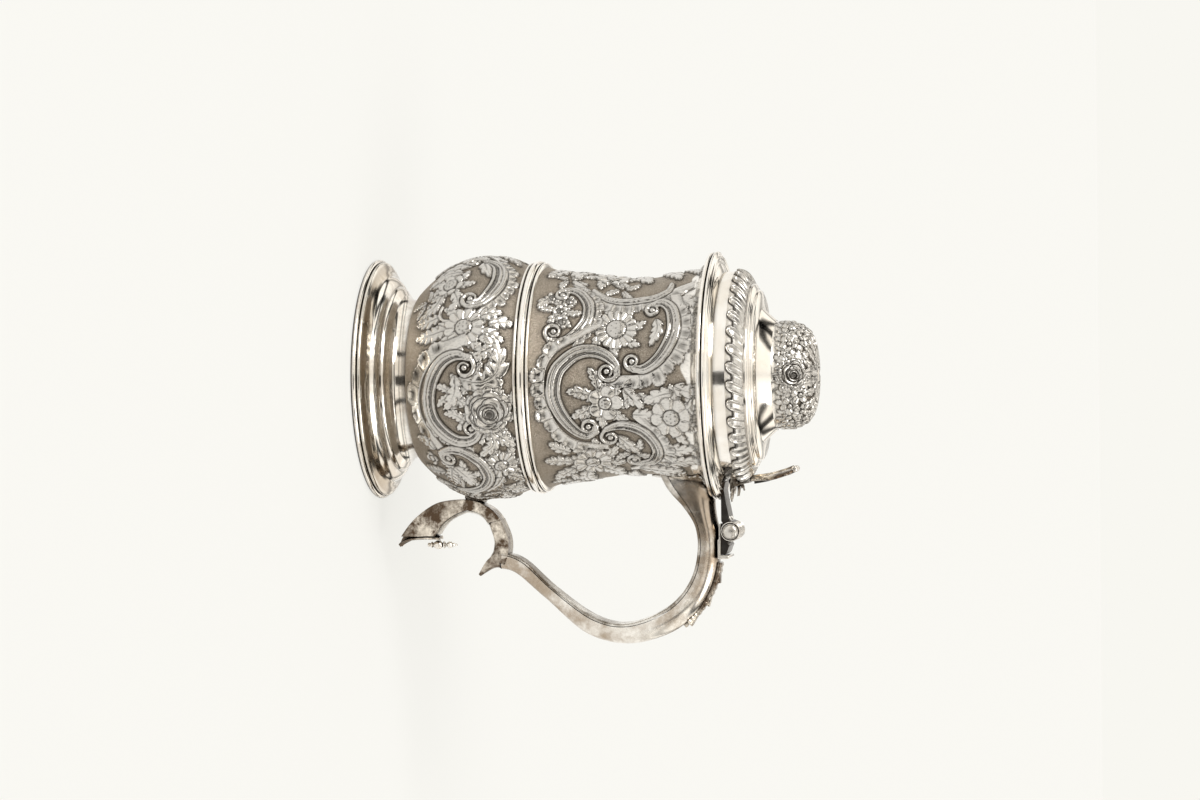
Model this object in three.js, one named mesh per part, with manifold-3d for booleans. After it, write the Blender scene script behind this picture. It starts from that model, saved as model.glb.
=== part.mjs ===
// A lidded silver tankard: baluster body on a spread foot, stepped lid with a dome, and a scroll handle.
// Millimetres, +Z up. The body's axis is vertical, and the handle and the hinge are on the +X side.
import * as THREE from 'three';
import { mergeVertices } from 'three/addons/utils/BufferGeometryUtils.js';
import Module from 'manifold-3d';

const wasm = await Module();
wasm.setup();

// Gaps
const seat = 0.3;             // between pieces that are soldered or seated on each other
const runningGap = 0.35;      // between pieces that turn past each other
const pinClearance = 0.1;     // between the hinge pin and the knuckles' bores

// Facets of the turned pieces
const turns = 32;
const tubeTurns = 16;

// Foot
const footRadius = 54;
const footRimHeight = 2.2;
const footRimWidth = 2.4;
const footLip = 1.2;          // how far the rim wire stands out past the foot
const footDomeHeight = 10;    // top of the domed part
const footStepRadius = 41.8;
const footHeight = 20.5;
const neckRadius = 35.1;      // where the foot meets the body
const footWall = 1.6;

// Body
const bellyRadius = 54.5;
const bellyHeight = 51.8;
const girdleInset = 4.5;      // of the wall under the girdle, from the belly's widest line
const girdleRadius = bellyRadius - girdleInset;
const girdleLow = 71.4;
const girdleHeight = 7.4;
const girdleRise = 2.4;       // how far the band stands out
const lipReach = 0.5;         // of the lip past the belly's widest line
const lipRadius = bellyRadius + lipReach;
const lipFlare = 8.7;         // from the throat out to the lip's edge
const throatRadius = lipRadius - lipFlare;
const waistDraw = 2.7;        // how much narrower the waist is than the throat
const waistRadius = throatRadius - waistDraw;
const lipHeight = 154.6;
const lipRun = 11.1;          // from the throat up to the lip
const throatHeight = lipHeight - lipRun;
const waistRun = 22.5;        // from the waist up to the throat
const waistHeight = throatHeight - waistRun;
const lipThickness = 1.4;
const wall = 1.4;

// Embossed relief
const reliefRise = 0.9;       // of the scrolls and flowers above the wall
const reliefRoot = 0.8;       // how deep they start inside the wall
const scrollWidth = 5.6;
const scrollStep = 9;         // length of one straight stretch of a scroll
const sprigWidth = 5;         // of the long leaves beside them
const gadroonCount = 36;
const gadroonWidth = 5;
const domeFlowers = 8;

// Lid
const flangeOverhang = 0.4;   // of the lid past the lip
const flangeThickness = 1.1;
const lidWallStep = 0.1;      // of the lid's wall past the throat
const lidWallRadius = throatRadius + lidWallStep;
const lidWallBase = 3.6;      // heights of the lid's features above its underside
const lidWallTop = 10.4;
const shoulderHeight = 16.4;
const shoulderInset = 5.9;    // from the lid's wall
const shoulderRadius = lidWallRadius - shoulderInset;
const stepHeight = 19.3;
const stepInset = 9.2;        // from the lid's wall
const stepRadius = lidWallRadius - stepInset;
const plateHeight = 20.6;
const lidWall = 1.3;
const lidWallSlope = 0.2;     // how much narrower the wall is at its foot
const bezelDepth = 6.5;       // below the lip
const bezelThickness = 1.2;

// Dome on the lid
const domeLedge = 7.2;        // from the step in to the dome
const domeBaseRadius = stepRadius - domeLedge;
const domeCoveWidth = 4;
const domeNeckRadius = domeBaseRadius - domeCoveWidth;
const domeCoveHeight = 7;
const domeHeight = 24.5;
const domeTaper = 2.6;
const domeCrownRadius = domeNeckRadius - domeTaper;
const domeWall = 1.2;

// Handle
const handleReach = 68.1;     // from the throat out to the back of the handle
const handleUnit = handleReach / 100;
const handleRootDepth = 21;
const handleNeckDepth = 9.6;
const handleBackDepth = 10.8;
const handleLowDepth = 6.6;
const handleEndDepth = 7.6;
const handleRootWidth = 18;
const handleTopWidth = 17;
const handleBackWidth = 15;
const handleEndWidth = 11;
const handleWall = 1.3;
const strapShare = 0.17;      // share of the depth that is the inner half
const lowerScrollDepth = 7.8;
const jointDepth = 6.4;       // of the lower scroll at the joint line
const lowerScrollWidth = 11;
const terminalWidth = 12;
const spurLength = 13;
const bossHeight = 10.5;
const bossWidth = 7;
const leafPlateThickness = 1.1;
const leafPlateReach = 11;    // how far the leaf plate spreads past the handle

// Hinge
const hingeReach = 14;        // from the lip's edge to the pin
const saddleWeb = 0.45;       // what is left of the saddle under the barrel
const pinRadius = 1.5;
const barrelRadius = 4.4;
const knuckleLength = 3.4;
const pinHeadRadius = 3.5;
const pinHeadThickness = 1;
const saddleTail = 12;        // length of the saddle behind the pin
const saddleFront = 3.6;
const saddleThickness = 1.2;
const strapWidth = 15;
const dropThickness = 1;
const dropWidth = 9;

// Thumbpiece
const thumbHeight = 21.2;
const thumbLean = 4.6;        // how far the top leans towards the dome
const thumbThickness = 2.2;
const thumbWidth = 20;
const thumbRootWidth = 8;
const thumbRollRadius = 1.5;
const leafWidth = 15;
const leafHeight = 14.4;       // of the leaf's top above the lid's underside

const silver = new THREE.MeshStandardMaterial({ color: 0xd9d6cf, roughness: 0.22, metalness: 1 });
const wornSilver = new THREE.MeshStandardMaterial({ color: 0xb7ab98, roughness: 0.38, metalness: 1 });
const tankard = new THREE.Group();
const bodyGroup = new THREE.Group();
const lidGroup = new THREE.Group();
tankard.add(bodyGroup, lidGroup);

// General shapes

function point(x, z) {
  return new THREE.Vector2(x, z);
}

function curve(points, steps) {
  return new THREE.SplineCurve(points).getPoints(steps);
}

function closedGeometry(positions, indices) {
  const geometry = new THREE.BufferGeometry();
  geometry.setAttribute('position', new THREE.Float32BufferAttribute(positions, 3));
  geometry.setIndex(indices);
  return geometry;
}

function toSolid(geometry) {
  const plain = geometry.clone();
  plain.deleteAttribute('normal');
  plain.deleteAttribute('uv');
  const merged = mergeVertices(plain, 1e-4);
  const source = merged.index.array;
  const triangles = [];
  for (let i = 0; i < source.length; i += 3) {
    const [a, b, c] = [source[i], source[i + 1], source[i + 2]];
    if (a !== b && b !== c && c !== a) triangles.push(a, b, c);
  }
  const triVerts = Uint32Array.from(triangles);
  const vertProperties = Float32Array.from(merged.attributes.position.array);
  return new wasm.Manifold(new wasm.Mesh({ numProp: 3, vertProperties, triVerts }));
}

function toGeometry(solid) {
  const mesh = solid.getMesh();
  return closedGeometry(Array.from(mesh.vertProperties), Array.from(mesh.triVerts));
}

function without(geometry, ...cutters) {
  let solid = toSolid(geometry);
  for (const cutter of cutters) solid = solid.subtract(toSolid(cutter));
  return toGeometry(solid);
}

function joined(...geometries) {
  const solids = geometries.map(toSolid);
  return toGeometry(solids.reduce((sum, solid) => sum.add(solid)));
}

function common(geometry, other) {
  return toGeometry(toSolid(geometry).intersect(toSolid(other)));
}

// A profile of (radius, height) points turned about the vertical axis.
function turned(profile, start = 0, angle = Math.PI * 2) {
  const geometry = new THREE.LatheGeometry(profile, turns, start, angle);
  return geometry.rotateX(Math.PI / 2);
}

function ring(outerRadius, innerRadius, low, high) {
  return turned([
    point(innerRadius, low), point(outerRadius, low), point(outerRadius, high),
    point(innerRadius, high), point(innerRadius, low),
  ]);
}

// Moves an open profile outwards, to the right of its direction, by a distance.
function grown(profile, distance) {
  return profile.map((here, i) => {
    const before = profile[Math.max(i - 1, 0)];
    const after = profile[Math.min(i + 1, profile.length - 1)];
    const along = after.clone().sub(before).normalize();
    return point(Math.max(here.x + along.y * distance, 0), here.y - along.x * distance);
  });
}

// Every second point of a profile, for the inside of a wall.
function sparse(profile) {
  return profile.filter((corner, i) => i % 2 === 0 || i === profile.length - 1);
}

// A cylinder along Y.
function crossBar(x, z, radius, fromY, toY, sides = tubeTurns) {
  const bar = new THREE.CylinderGeometry(radius, radius, toY - fromY, sides);
  return bar.translate(x, (fromY + toY) / 2, z);
}

// A flat outline of (x, z) points with its thickness along Y.
function plate(outline, fromY, toY) {
  const shape = new THREE.Shape(outline);
  const solid = new THREE.ExtrudeGeometry(shape, { depth: toY - fromY, bevelEnabled: false });
  return solid.rotateX(Math.PI / 2).translate(0, toY, 0);
}

// A bar whose middle line lies in the XZ plane. A station has its place, its outward direction,
// and its section as (outward, sideways) points.
function lofted(stations) {
  const count = stations[0].section.length;
  if (THREE.ShapeUtils.isClockWise(stations[0].section)) {
    for (const { section } of stations) section.reverse();
  }
  const positions = [];
  const indices = [];
  for (const { place, outward, section } of stations) {
    for (const corner of section) {
      positions.push(place.x + outward.x * corner.x, corner.y, place.y + outward.y * corner.x);
    }
  }
  for (let k = 0; k + 1 < stations.length; k += 1) {
    for (let i = 0; i < count; i += 1) {
      const a = k * count + i;
      const b = k * count + (i + 1) % count;
      indices.push(a, b, a + count, b, b + count, a + count);
    }
  }
  const caps = THREE.ShapeUtils.triangulateShape(stations[0].section, []);
  const last = (stations.length - 1) * count;
  for (const [a, b, c] of caps) {
    indices.push(a, c, b, last + a, last + b, last + c);
  }
  return facingOut(closedGeometry(positions, indices));
}

// Turns a closed mesh inside out if its faces point inwards.
function facingOut(geometry) {
  const place = geometry.attributes.position;
  const index = geometry.index.array;
  const [a, b, c] = [new THREE.Vector3(), new THREE.Vector3(), new THREE.Vector3()];
  let volume = 0;
  for (let i = 0; i < index.length; i += 3) {
    a.fromBufferAttribute(place, index[i]);
    b.fromBufferAttribute(place, index[i + 1]);
    c.fromBufferAttribute(place, index[i + 2]);
    volume += a.dot(b.cross(c));
  }
  if (volume < 0) {
    for (let i = 0; i < index.length; i += 3) [index[i + 1], index[i + 2]] = [index[i + 2], index[i + 1]];
  }
  return geometry;
}

function add(group, name, geometry, material = silver) {
  const mesh = new THREE.Mesh(geometry, material);
  mesh.name = name;
  group.add(mesh);
}

// Foot: a raised shell that stands on its rim wire. Its underside is open.
function footProfile() {
  const rimTop = footRimHeight + seat;
  const domeTop = footDomeHeight;
  return [
    point(footRadius - footLip, rimTop),
    ...curve([
      point(footRadius - footLip - 0.2, rimTop + 1), point(footRadius - 5.4, rimTop + 3.7),
      point(footStepRadius + 2.8, domeTop - 1.2), point(footStepRadius + 0.4, domeTop),
    ], 6),
    point(footStepRadius, domeTop + 1.1),
    ...curve([
      point(footStepRadius - 1.4, domeTop + 2.1), point(neckRadius + 3.1, domeTop + 3.3),
      point(neckRadius + 0.5, domeTop + 6.6), point(neckRadius, footHeight),
    ], 7),
  ];
}

function makeFoot() {
  const outer = footProfile();
  const skirtRadius = footRadius - footRimWidth - seat;
  const inner = sparse(grown(outer.slice(1), -footWall)).reverse();
  inner[0] = point(neckRadius - 3.4, footHeight);
  const profile = [
    point(skirtRadius - footWall, 0), point(skirtRadius, 0), point(skirtRadius, footRimHeight + seat),
    ...outer, ...inner, point(skirtRadius - footWall, 0),
  ];
  add(bodyGroup, 'foot', turned(profile));
  add(bodyGroup, 'foot_rim_wire', ring(footRadius, footRadius - footRimWidth, 0, footRimHeight));
}

// Body: one raised shell, open at the top, with an everted lip.
function bodyProfile() {
  const girdleTop = girdleLow + girdleHeight;
  return [
    point(neckRadius, footHeight),
    ...curve([
      point(neckRadius + 2, footHeight + 0.3), point(neckRadius + 11.1, footHeight + 9.6),
      point(bellyRadius - 2.1, bellyHeight - 11.2), point(bellyRadius, bellyHeight),
      point(bellyRadius - 1.1, bellyHeight + 9.7), point(girdleRadius, girdleLow),
    ], 11),
    ...curve([
      point(girdleRadius - 0.4, girdleTop - 0.4), point(girdleRadius - 3.1, girdleTop + 9.2),
      point(waistRadius + 1.7, waistHeight - 19.7), point(waistRadius, waistHeight),
      point(throatRadius - 1.6, throatHeight - 12), point(throatRadius, throatHeight),
      point(throatRadius + 1.1, throatHeight + 5),
    ], 9),
    point(throatRadius + 3.7, lipHeight - lipThickness - 1.8),
    point(lipRadius, lipHeight - lipThickness),
  ];
}

function makeBody() {
  const outer = bodyProfile();
  const inner = sparse(grown(outer.slice(1, -1), -wall)).reverse();
  inner[0] = point(throatRadius + 2.8, lipHeight - wall * 1.3);
  const floor = footHeight + wall;
  const profile = [
    point(0, footHeight), ...outer, point(lipRadius, lipHeight), point(lipRadius - 3, lipHeight),
    ...inner.slice(0, -1), point(neckRadius, floor), point(0, floor),
  ];
  add(bodyGroup, 'body', joined(turned(profile), ...onBothSides([...waistRelief(), ...bellyRelief()])));
}

// The same forms again on the back of the wall.
function onBothSides(forms) {
  return [...forms, ...forms.map((form) => facingOut(form.clone().scale(1, -1, 1)))];
}

function waistRelief() {
  const foot = girdleLow + girdleHeight;
  const zone = { profile: bodyProfile(), low: foot, height: throatHeight - foot, radius: waistRadius + 1.4 };
  const scrolls = [
    [[-41, 78], [-45, 86], [-40, 93], [-28, 97], [-15, 92], [-5, 79], [-7, 66]],
    [[-2, 52], [-8, 56], [-14.5, 43], [-9, 24], [5, 15], [21, 20], [33, 34], [29, 43]],
    [[-50, 17], [-54, 27], [-45, 36], [-30, 34], [-20, 23], [-24, 13]],
    [[53, 64], [57, 74], [47, 82], [35, 76], [29, 61], [35, 50]],
  ];
  const frills = [
    [[-36, 101], [-22, 102], [-8, 95], [2, 82], [5, 67]],
    [[-16, 14], [-5, 7], [12, 6], [29, 12], [42, 30]],
  ];
  const flowers = [[-28, 57, 8.2], [23, 94, 7.6], [15, 50, 7], [55, 37, 7.5], [-76, 48, 7], [-39, 18, 4.6]];
  const leaves = [
    [[45, 88], [43, 99]], [[-84, 88], [-71, 95]], [[-84, 28], [-70, 22]], [[65, 27], [82, 31]],
  ];
  return reliefOn(zone, { scrolls, frills, flowers, leaves });
}

function bellyRelief() {
  const height = girdleLow - footHeight;
  const zone = { profile: bodyProfile(), low: footHeight, height, radius: bellyRadius - 2.5 };
  const scrolls = [
    [[-4, 60], [-10, 58], [-9, 41], [2, 29], [15, 26], [27, 38], [31, 58], [24, 65]],
    [[-67, 55], [-71, 66], [-61, 82], [-48, 82], [-36, 68], [-40, 58]],
    [[42, 36], [37, 50], [44, 69], [57, 71], [68, 50]],
  ];
  const frills = [
    [[-15, 36], [-4, 19], [13, 13], [27, 17], [34, 28]],
    [[1, 62], [0, 80], [-9, 88], [-18, 75]],
  ];
  const flowers = [[-51, 40, 6], [-24, 58, 8], [15.5, 79, 8.6], [46.5, 84, 6.5]];
  const leaves = [[[-22.5, 40], [-22, 17]], [[50, 42], [62, 46]], [[-84, 58], [-75, 76]]];
  return reliefOn(zone, { scrolls, frills, flowers, leaves });
}

// The relief of a zone, from places of [degrees from the front towards the handle, hundredths of the zone].
function reliefOn(zone, { scrolls, frills, flowers, leaves }) {
  return [
    ...scrolls.map((places) => raisedBand(zone, places, scrollWidth)),
    ...frills.map((places) => raisedBand(zone, places, scrollWidth * 0.8, reliefRise * 0.7)),
    ...flowers.map(([turn, share, radius]) => raisedDome(zone, [turn, share], radius)),
    ...leaves.map((places) => raisedBand(zone, places, sprigWidth, reliefRise * 0.8)),
  ];
}

// A band raised from the wall along a curve through its places.
function raisedBand(zone, places, width, rise = reliefRise) {
  const line = new THREE.SplineCurve(places.map((place) => placeOn(zone, place)));
  const steps = Math.max(1, Math.round(line.getLength() / scrollStep));
  const narrow = width <= gadroonWidth;
  const top = narrow ? [[0, rise]] : [[-0.3, rise], [0.3, rise]];
  const section = [[-0.5, -reliefRoot], ...top, [0.5, -reliefRoot]];
  const count = section.length;
  const positions = [];
  const indices = [];
  for (let k = 0; k <= steps; k += 1) {
    const here = line.getPointAt(k / steps);
    const heading = line.getTangentAt(k / steps);
    for (const [share, out] of section) {
      const across = share * width;
      positions.push(...skinPoint(zone, here.x - heading.y * across, here.y + heading.x * across, out));
    }
  }
  for (let k = 0; k < steps; k += 1) {
    for (let i = 0; i < count; i += 1) {
      const a = k * count + i;
      const b = k * count + (i + 1) % count;
      indices.push(a, b, a + count, b, b + count, a + count);
    }
  }
  const last = steps * count;
  for (let i = 2; i < count; i += 1) indices.push(0, i, i - 1, last, last + i - 1, last + i);
  return facingOut(closedGeometry(positions, indices));
}

// A low dome raised from the wall at a place.
function raisedDome(zone, place, radius, rise = reliefRise, sides = 6) {
  const centre = placeOn(zone, place);
  const positions = [];
  const indices = [];
  for (const [share, out] of [[1, -reliefRoot], [0.65, rise]]) {
    for (let i = 0; i < sides; i += 1) {
      const turn = i / sides * Math.PI * 2;
      const along = centre.x + radius * share * Math.cos(turn);
      const height = centre.y + radius * share * Math.sin(turn);
      positions.push(...skinPoint(zone, along, height, out));
    }
  }
  positions.push(...skinPoint(zone, centre.x, centre.y, -reliefRoot));
  positions.push(...skinPoint(zone, centre.x, centre.y, rise * 1.25));
  const under = sides * 2;
  for (let i = 0; i < sides; i += 1) {
    const j = (i + 1) % sides;
    indices.push(i, j, sides + i, j, sides + j, sides + i, under, j, i, under + 1, sides + i, sides + j);
  }
  return facingOut(closedGeometry(positions, indices));
}

function placeOn(zone, [turn, share]) {
  return point(THREE.MathUtils.degToRad(turn) * zone.radius, zone.low + zone.height * share / 100);
}

// A point out from a zone's wall, at a distance along it from the front and at a height.
function skinPoint(zone, along, height, out) {
  const turn = along / zone.radius;
  const radius = radiusAt(zone.profile, height) + out;
  return [radius * Math.sin(turn), -radius * Math.cos(turn), height];
}

function radiusAt(profile, height) {
  const i = profile.findIndex((corner) => corner.y >= height);
  const [low, high] = [profile[i - 1], profile[i]];
  return THREE.MathUtils.mapLinear(height, low.y, high.y, low.x, high.x);
}

// The outside of the body, grown by the soldering gap, for cutting what is fixed to it.
function bodyCutter() {
  const outer = grown(bodyProfile(), seat);
  const top = lipHeight + seat;
  return turned([
    point(0, footHeight - seat), ...outer, point(lipRadius + seat, lipHeight - lipThickness),
    point(lipRadius + seat, top), point(0, top),
  ]);
}

function bodyRadiusAt(height) {
  return radiusAt(bodyProfile(), height);
}

// Girdle band: two main reeds between thin fillets.
function makeGirdle() {
  const inside = girdleRadius + seat;
  const height = girdleHeight;
  const rise = girdleRise;
  const shares = [
    [0, 0.12], [0.12, 0.3], [0.2, 0.62], [0.27, 0.42], [0.36, 0.95], [0.46, 0.95], [0.54, 0.5],
    [0.62, 0.85], [0.72, 0.85], [0.8, 0.35], [0.88, 0.5], [1, 0.12],
  ];
  const face = shares.map(([up, out]) => point(inside + rise * out, girdleLow + height * up));
  const profile = [
    point(inside, girdleLow), ...face, point(inside, girdleLow + height), point(inside, girdleLow),
  ];
  add(bodyGroup, 'girdle_band', turned(profile));
}

// Lid
const lidUnder = lipHeight + seat;
const flangeRadius = lipRadius + flangeOverhang;

function lidProfile() {
  const edge = lidUnder + flangeThickness;
  const wallBase = lidUnder + lidWallBase;
  return [
    point(flangeRadius, lidUnder), point(flangeRadius, edge), point(flangeRadius - 1.6, edge + 0.4),
    point(flangeRadius - 2.4, edge + 1.1), point(flangeRadius - 3.2, edge + 0.9),
    point(flangeRadius - 4.4, edge + 1.7), point(flangeRadius - 5.6, edge + 1.4),
    point(lidWallRadius - lidWallSlope, wallBase), point(lidWallRadius, lidUnder + lidWallTop),
    ...curve([
      point(lidWallRadius - 0.2, lidUnder + lidWallTop + 1.9),
      point(lidWallRadius - 1.9, lidUnder + lidWallTop + 3.9),
      point(shoulderRadius, lidUnder + shoulderHeight),
    ], 4),
    point(shoulderRadius - 0.7, lidUnder + shoulderHeight + 1.2),
    point(stepRadius + 1, stepHeight + lidUnder - 0.8), point(stepRadius, lidUnder + stepHeight),
    point(stepRadius - 0.8, lidUnder + plateHeight - 0.3),
    point(domeBaseRadius + 1.5, lidUnder + plateHeight),
  ];
}

function makeLid() {
  const outer = lidProfile();
  const plateTop = lidUnder + plateHeight;
  const hole = domeBaseRadius - 3.5;
  const under = lidUnder + flangeThickness - 0.1;
  const profile = [
    ...outer, point(hole, plateTop), point(hole, plateTop - lidWall),
    point(stepRadius - 2, plateTop - lidWall), point(stepRadius - 1.2, lidUnder + stepHeight - lidWall),
    point(shoulderRadius - 1.4, lidUnder + shoulderHeight - lidWall),
    point(lidWallRadius - lidWall - 1.4, lidUnder + lidWallTop + 1.6),
    point(lidWallRadius - lidWall, lidUnder + lidWallTop - 0.6),
    point(lidWallRadius - lidWallSlope - lidWall, under),
    point(lidWallRadius - lidWallSlope - lidWall, lidUnder),
    point(flangeRadius, lidUnder),
  ];
  add(lidGroup, 'lid', joined(turned(profile), ...gadroons()));
}

// Slanting lobes round the lid's shoulder, except behind the thumbpiece.
function gadroons() {
  const low = lidUnder + lidWallTop;
  const height = shoulderHeight - lidWallTop;
  const zone = { profile: lidProfile(), low, height, radius: lidWallRadius };
  const spacing = 360 / gadroonCount;
  const lobes = [];
  for (let turn = spacing / 2; turn < 360; turn += spacing) {
    const places = [[turn, 0], [turn + spacing / 3, 85]];
    const behindThumbpiece = Math.abs(turn - 90) < spacing * 2;
    if (!behindThumbpiece) lobes.push(raisedBand(zone, places, gadroonWidth, reliefRise * 0.8));
  }
  return lobes;
}

function makeBezel() {
  const outerRadius = lidWallRadius - lidWallSlope - lidWall - seat;
  const top = lidUnder + flangeThickness + 0.6;
  const low = lipHeight - bezelDepth;
  add(lidGroup, 'lid_bezel', ring(outerRadius, outerRadius - bezelThickness, low, top));
}

function lidCutter() {
  const outer = grown(lidProfile(), seat);
  return turned([point(0, lidUnder - seat), point(flangeRadius + seat, lidUnder - seat), ...outer,
    point(0, lidUnder + plateHeight + seat)]);
}

// Dome: a raised shell soldered on the lid's plate, with a ring of flowers.
function makeDome() {
  const base = lidUnder + plateHeight;
  const crown = base + domeHeight;
  const cove = curve([
    point(domeBaseRadius, base + 0.8), point(domeBaseRadius - 2.6, base + 2.6),
    point(domeNeckRadius + 0.2, base + domeCoveHeight),
  ], 4);
  const cap = curve([
    point(domeNeckRadius - 0.8, base + domeCoveHeight + 4.6), point(domeCrownRadius + 0.4, crown - 7.6),
    point(domeCrownRadius - 2.2, crown - 4.3), point(domeCrownRadius - 6, crown - 2.1),
    point(domeCrownRadius - 13, crown - 0.5), point(0, crown),
  ], 8);
  const outer = [point(domeBaseRadius, base), ...cove, ...cap];
  const inner = sparse(grown([...cove, ...cap].slice(1, -1), -domeWall)).reverse();
  const profile = [
    ...outer, point(0, crown - domeWall), ...inner,
    point(domeBaseRadius - 2.4, base), point(domeBaseRadius, base),
  ];
  const low = base + domeCoveHeight;
  const zone = { profile: outer, low, height: crown - low, radius: domeNeckRadius };
  const flowers = [];
  for (let i = 0; i < domeFlowers; i += 1) {
    flowers.push(raisedDome(zone, [360 * (i + 0.5) / domeFlowers, 42], domeNeckRadius * 0.22));
  }
  add(lidGroup, 'lid_dome', joined(turned(profile), ...flowers));
}

// Handle: its middle line hangs between the throat of the body and the widest part of the belly.
// A point is set off from the throat at the lip's height (share 1), from the belly's widest line (share 0),
// or from a place between them, by hundredths of the handle's reach.
function handlePoint(share, aside, up) {
  const upper = point(throatRadius, lipHeight);
  const lower = point(bellyRadius, bellyHeight);
  const anchor = lower.lerp(upper, share);
  return point(anchor.x + aside * handleUnit, anchor.y + up * handleUnit);
}

// A point set off outwards from the flat front of the terminal.
const terminalFront = 16.9;   // ahead of the belly's widest line

function frontPoint(out, up) {
  return point(bellyRadius + terminalFront + out, bellyHeight + up * handleUnit);
}

const scrollLine = new THREE.SplineCurve([
  handlePoint(1, -4.8, -21.1), handlePoint(1, 13.2, -12.6), handlePoint(1, 39.5, -5.9),
  handlePoint(1, 67.1, -10.7),
  handlePoint(0.95, 88.1, -20.7), handlePoint(0.85, 98.2, -34.4), handlePoint(0.6, 90.5, -23.8),
  handlePoint(0.35, 65.9, -14.4), handlePoint(0.1, 46.5, 4.6), handlePoint(0, 40.8, 7.9),
  handlePoint(0, 42.6, 0), handlePoint(0, 50.5, -9),
]);
const scrollShare = 1 - spurLength / scrollLine.getLength();

function along(shares, values, t) {
  let i = 1;
  while (i < shares.length - 1 && shares[i] < t) i += 1;
  const step = THREE.MathUtils.smoothstep(t, shares[i - 1], shares[i]);
  return THREE.MathUtils.lerp(values[i - 1], values[i], step);
}

function handleDepth(t) {
  return along([0, 0.16, 0.45, 0.66, 0.84, 1], [
    handleRootDepth, handleNeckDepth, handleBackDepth, handleBackDepth - 1.8, handleLowDepth, handleEndDepth,
  ], t);
}

function handleWidth(t) {
  return along([0, 0.3, 0.6, 1], [handleRootWidth, handleTopWidth, handleBackWidth, handleEndWidth], t);
}

// Half of an ellipse-like section: from one side over the crown to the other.
function crownArc(half, low, high, steps, squareness = 0.62) {
  const arc = [];
  for (let i = 0; i <= steps; i += 1) {
    const angle = Math.PI * i / steps;
    const across = Math.sign(Math.cos(angle)) * Math.abs(Math.cos(angle)) ** squareness;
    const rise = Math.sin(angle) ** squareness;
    arc.push(point(low + (high - low) * rise, half * across));
  }
  return arc;
}

function stationAt(line, t, makeSection) {
  const place = line.getPointAt(t);
  const tangent = line.getTangentAt(t);
  const outward = point(-tangent.y, tangent.x);
  return { place, outward, section: makeSection(t) };
}

function swept(line, steps, makeSection) {
  const stations = [];
  for (let k = 0; k <= steps; k += 1) stations.push(stationAt(line, k / steps, makeSection));
  return lofted(stations);
}

// A station of the upper scroll, from 0 at the body to 1 at the spur.
function scrollStation(t, makeSection) {
  return { ...stationAt(scrollLine, t * scrollShare, () => []), section: makeSection(t) };
}

function sweptScroll(steps, makeSection) {
  const stations = [];
  for (let k = 0; k <= steps; k += 1) stations.push(scrollStation(k / steps, makeSection));
  return lofted(stations);
}

const scrollSteps = 26;

function outerHalfSection(t) {
  const depth = handleDepth(t);
  const half = handleWidth(t) / 2;
  const seam = -depth / 2 + depth * strapShare + seat / 2;
  const outside = crownArc(half, seam, depth / 2, 8);
  const inside = crownArc(half - handleWall, seam, depth / 2 - handleWall, 6).reverse();
  return [...outside, ...inside];
}

function innerHalfSection(t) {
  const depth = handleDepth(t);
  const half = handleWidth(t) / 2;
  const seam = -depth / 2 + depth * strapShare - seat / 2;
  return [
    point(seam, half), point(seam, -half), point(-depth * 0.46, -half * 0.84),
    point(-depth * 0.5, -half * 0.5), point(-depth * 0.5, half * 0.5), point(-depth * 0.46, half * 0.84),
  ];
}

// The whole section of the upper scroll, grown by the soldering gap.
function wholeSection(t) {
  const depth = handleDepth(t) / 2 + seat;
  const half = handleWidth(t) / 2 + seat;
  const seam = handleDepth(t) * (strapShare - 0.5);
  return crownArc(half, seam, depth, 8).concat([point(-depth, -half), point(-depth, half)]);
}

function makeHandle() {
  const cutter = bodyCutter();
  const outerHalf = without(sweptScroll(scrollSteps, outerHalfSection), cutter);
  const innerHalf = without(sweptScroll(scrollSteps, innerHalfSection), cutter);
  add(bodyGroup, 'handle_outer_half', outerHalf);
  add(bodyGroup, 'handle_inner_half', innerHalf);
}

// Spur: the pointed end of the upper scroll.
function spurDepth(t) {
  return THREE.MathUtils.lerp(handleEndDepth, 1.2, Math.sqrt(t));
}

function spurSection(t) {
  const depth = spurDepth(t) / 2;
  const half = THREE.MathUtils.lerp(handleEndWidth, 2.4, t ** 1.5) / 2;
  return crownArc(half, -depth, depth, 8).concat([point(-depth, -half * 0.5), point(-depth, half * 0.5)]);
}

function spurStation(t, makeSection) {
  const start = scrollShare + seat / scrollLine.getLength();
  return { ...stationAt(scrollLine, THREE.MathUtils.lerp(start, 1, t), () => []), section: makeSection(t) };
}

function makeSpur() {
  const stations = [];
  for (let k = 0; k <= 7; k += 1) stations.push(spurStation(k / 7, spurSection));
  add(bodyGroup, 'handle_spur', lofted(stations));
}

// Lower scroll: from the spur round to the joint line, then the terminal that rests against the belly.
const lowerLine = new THREE.SplineCurve([
  handlePoint(0, 44.1, 1.8), handlePoint(0, 36, 5.9), handlePoint(0, 26.4, 6.5), handlePoint(0, 14.8, 2.3),
]);

function lowerSection(t) {
  const depth = THREE.MathUtils.lerp(lowerScrollDepth, jointDepth, t) / 2;
  const half = lowerScrollWidth / 2;
  return crownArc(half, -depth, depth, 8).concat([point(-depth, -half * 0.5), point(-depth, half * 0.5)]);
}

// A broad section for cutting clear of the scroll and the spur, with the soldering gap.
function squareSection(depth) {
  const half = handleEndWidth;
  const clear = depth / 2 + seat;
  return [point(-clear, half), point(-clear, -half), point(clear, -half), point(clear, half)];
}

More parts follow.
